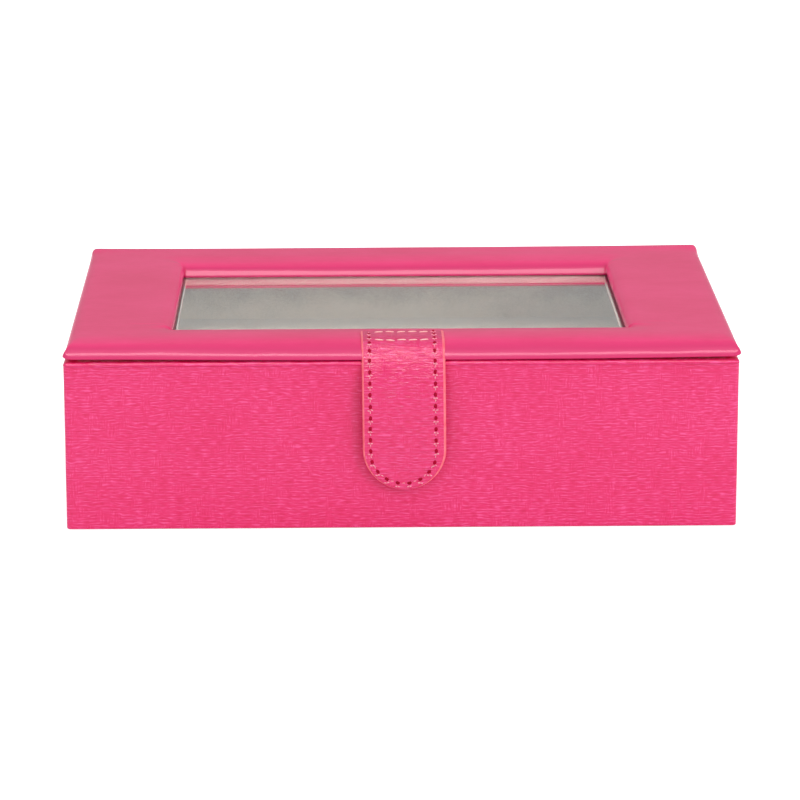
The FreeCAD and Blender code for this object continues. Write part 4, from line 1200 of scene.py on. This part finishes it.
AMBIENT_LEVEL = 1.08  # brightness of the white surround where it lights the box
MIRRORED_LEVEL = 0.29  # where it is mirrored, low down
MIRRORED_TOP = 0.14  # and straight overhead
MIRRORED_FROM = 0.28  # it darkens from this far up, with straight up at 1
MIRRORED_FLOOR = 0.05  # how much the mirrored floor glows
MIRRORED_SHADE = 0.7  # and how light it is there
FLOOR_GLOW = 0.62  # how much the floor glows where the camera sees it
FLOOR_SHADE = 0.8
FLOOR_REACH = 3000.0
LAMP_TARGET = (0, 0, 30)


def grey(level):
    """A linear grey, from black at 0 to white at 1."""
    return (level, level, level, 1.0)


def glow(name):
    """A surface that looks white to the camera and keeps the shadows that fall on it."""
    made = Surface(name, 0.9, Specular_IOR_Level=0.0, Emission_Color=grey(1.0))
    path = made.add("ShaderNodeLightPath").outputs
    through = path["Is Transmission Ray"]
    mirrored = made.work_out("SUBTRACT", path["Is Glossy Ray"], through, use_clamp=True)
    made.set("Base Color", made.mixed(mirrored, grey(FLOOR_SHADE), grey(MIRRORED_SHADE)))
    direct = made.work_out("MAXIMUM", path["Is Camera Ray"], through)
    seen = made.work_out("MULTIPLY", direct, FLOOR_GLOW)
    reflected = made.work_out("MULTIPLY", mirrored, MIRRORED_FLOOR)
    made.set("Emission Strength", made.work_out("ADD", seen, reflected))
    return made.material


def make_floor():
    """A wide white floor."""
    corners = [(-FLOOR_REACH, -FLOOR_REACH, 0), (FLOOR_REACH, -FLOOR_REACH, 0)]
    corners += [(-x, -y, 0) for x, y, _ in corners]
    floor = new_piece("floor", corners, [(0, 1, 2, 3)], [glow("floor_white")])


def make_world():
    """Even studio light with a white backdrop all round, which is dark overhead where it is mirrored."""
    world = bpy.data.worlds.new("studio")
    bpy.context.scene.world = world
    world.use_nodes = True
    made = Nodes(world.node_tree)
    path = made.add("ShaderNodeLightPath").outputs
    upward = made.parts(made.add("ShaderNodeTexCoord").outputs["Generated"])[2]
    mirrored = made.remap(upward, MIRRORED_FROM, 1.0, MIRRORED_LEVEL, MIRRORED_TOP)
    level = AMBIENT_LEVEL
    for ray, seen in (("Is Glossy Ray", mirrored), ("Is Transmission Ray", 1.0), ("Is Camera Ray", 1.0)):
        level = made.blend(path[ray], level, seen)
    background = made.tree.nodes["Background"]
    made.feed(background.inputs["Color"], grey(1.0))
    made.feed(background.inputs["Strength"], level)


def make_lamp(name, place, width, depth, power, only_gloss):
    """A soft box that points at the box and lights only the highlights, or everything but them."""
    data = bpy.data.lights.new(name, "AREA")
    data.shape = "RECTANGLE"
    data.size = width * MM
    data.size_y = depth * MM
    data.energy = power
    lamp = bpy.data.objects.new(name, data)
    where = Vector(place) * MM
    away = where - Vector(LAMP_TARGET) * MM
    lamp.matrix_world = Matrix.Translation(where) @ away.to_track_quat("Z", "Y").to_matrix().to_4x4()
    lamp.visible_diffuse = not only_gloss
    lamp.visible_glossy = only_gloss
    bpy.context.scene.collection.objects.link(lamp)


make_floor()
make_world()
make_lamp("key", (-100, -410, 1010), width=1000, depth=380, power=6.3, only_gloss=True)
make_lamp("fill", (1650, -2340, 1000), width=760, depth=760, power=15.0, only_gloss=False)

bpy.context.scene.view_settings.view_transform = "Standard"
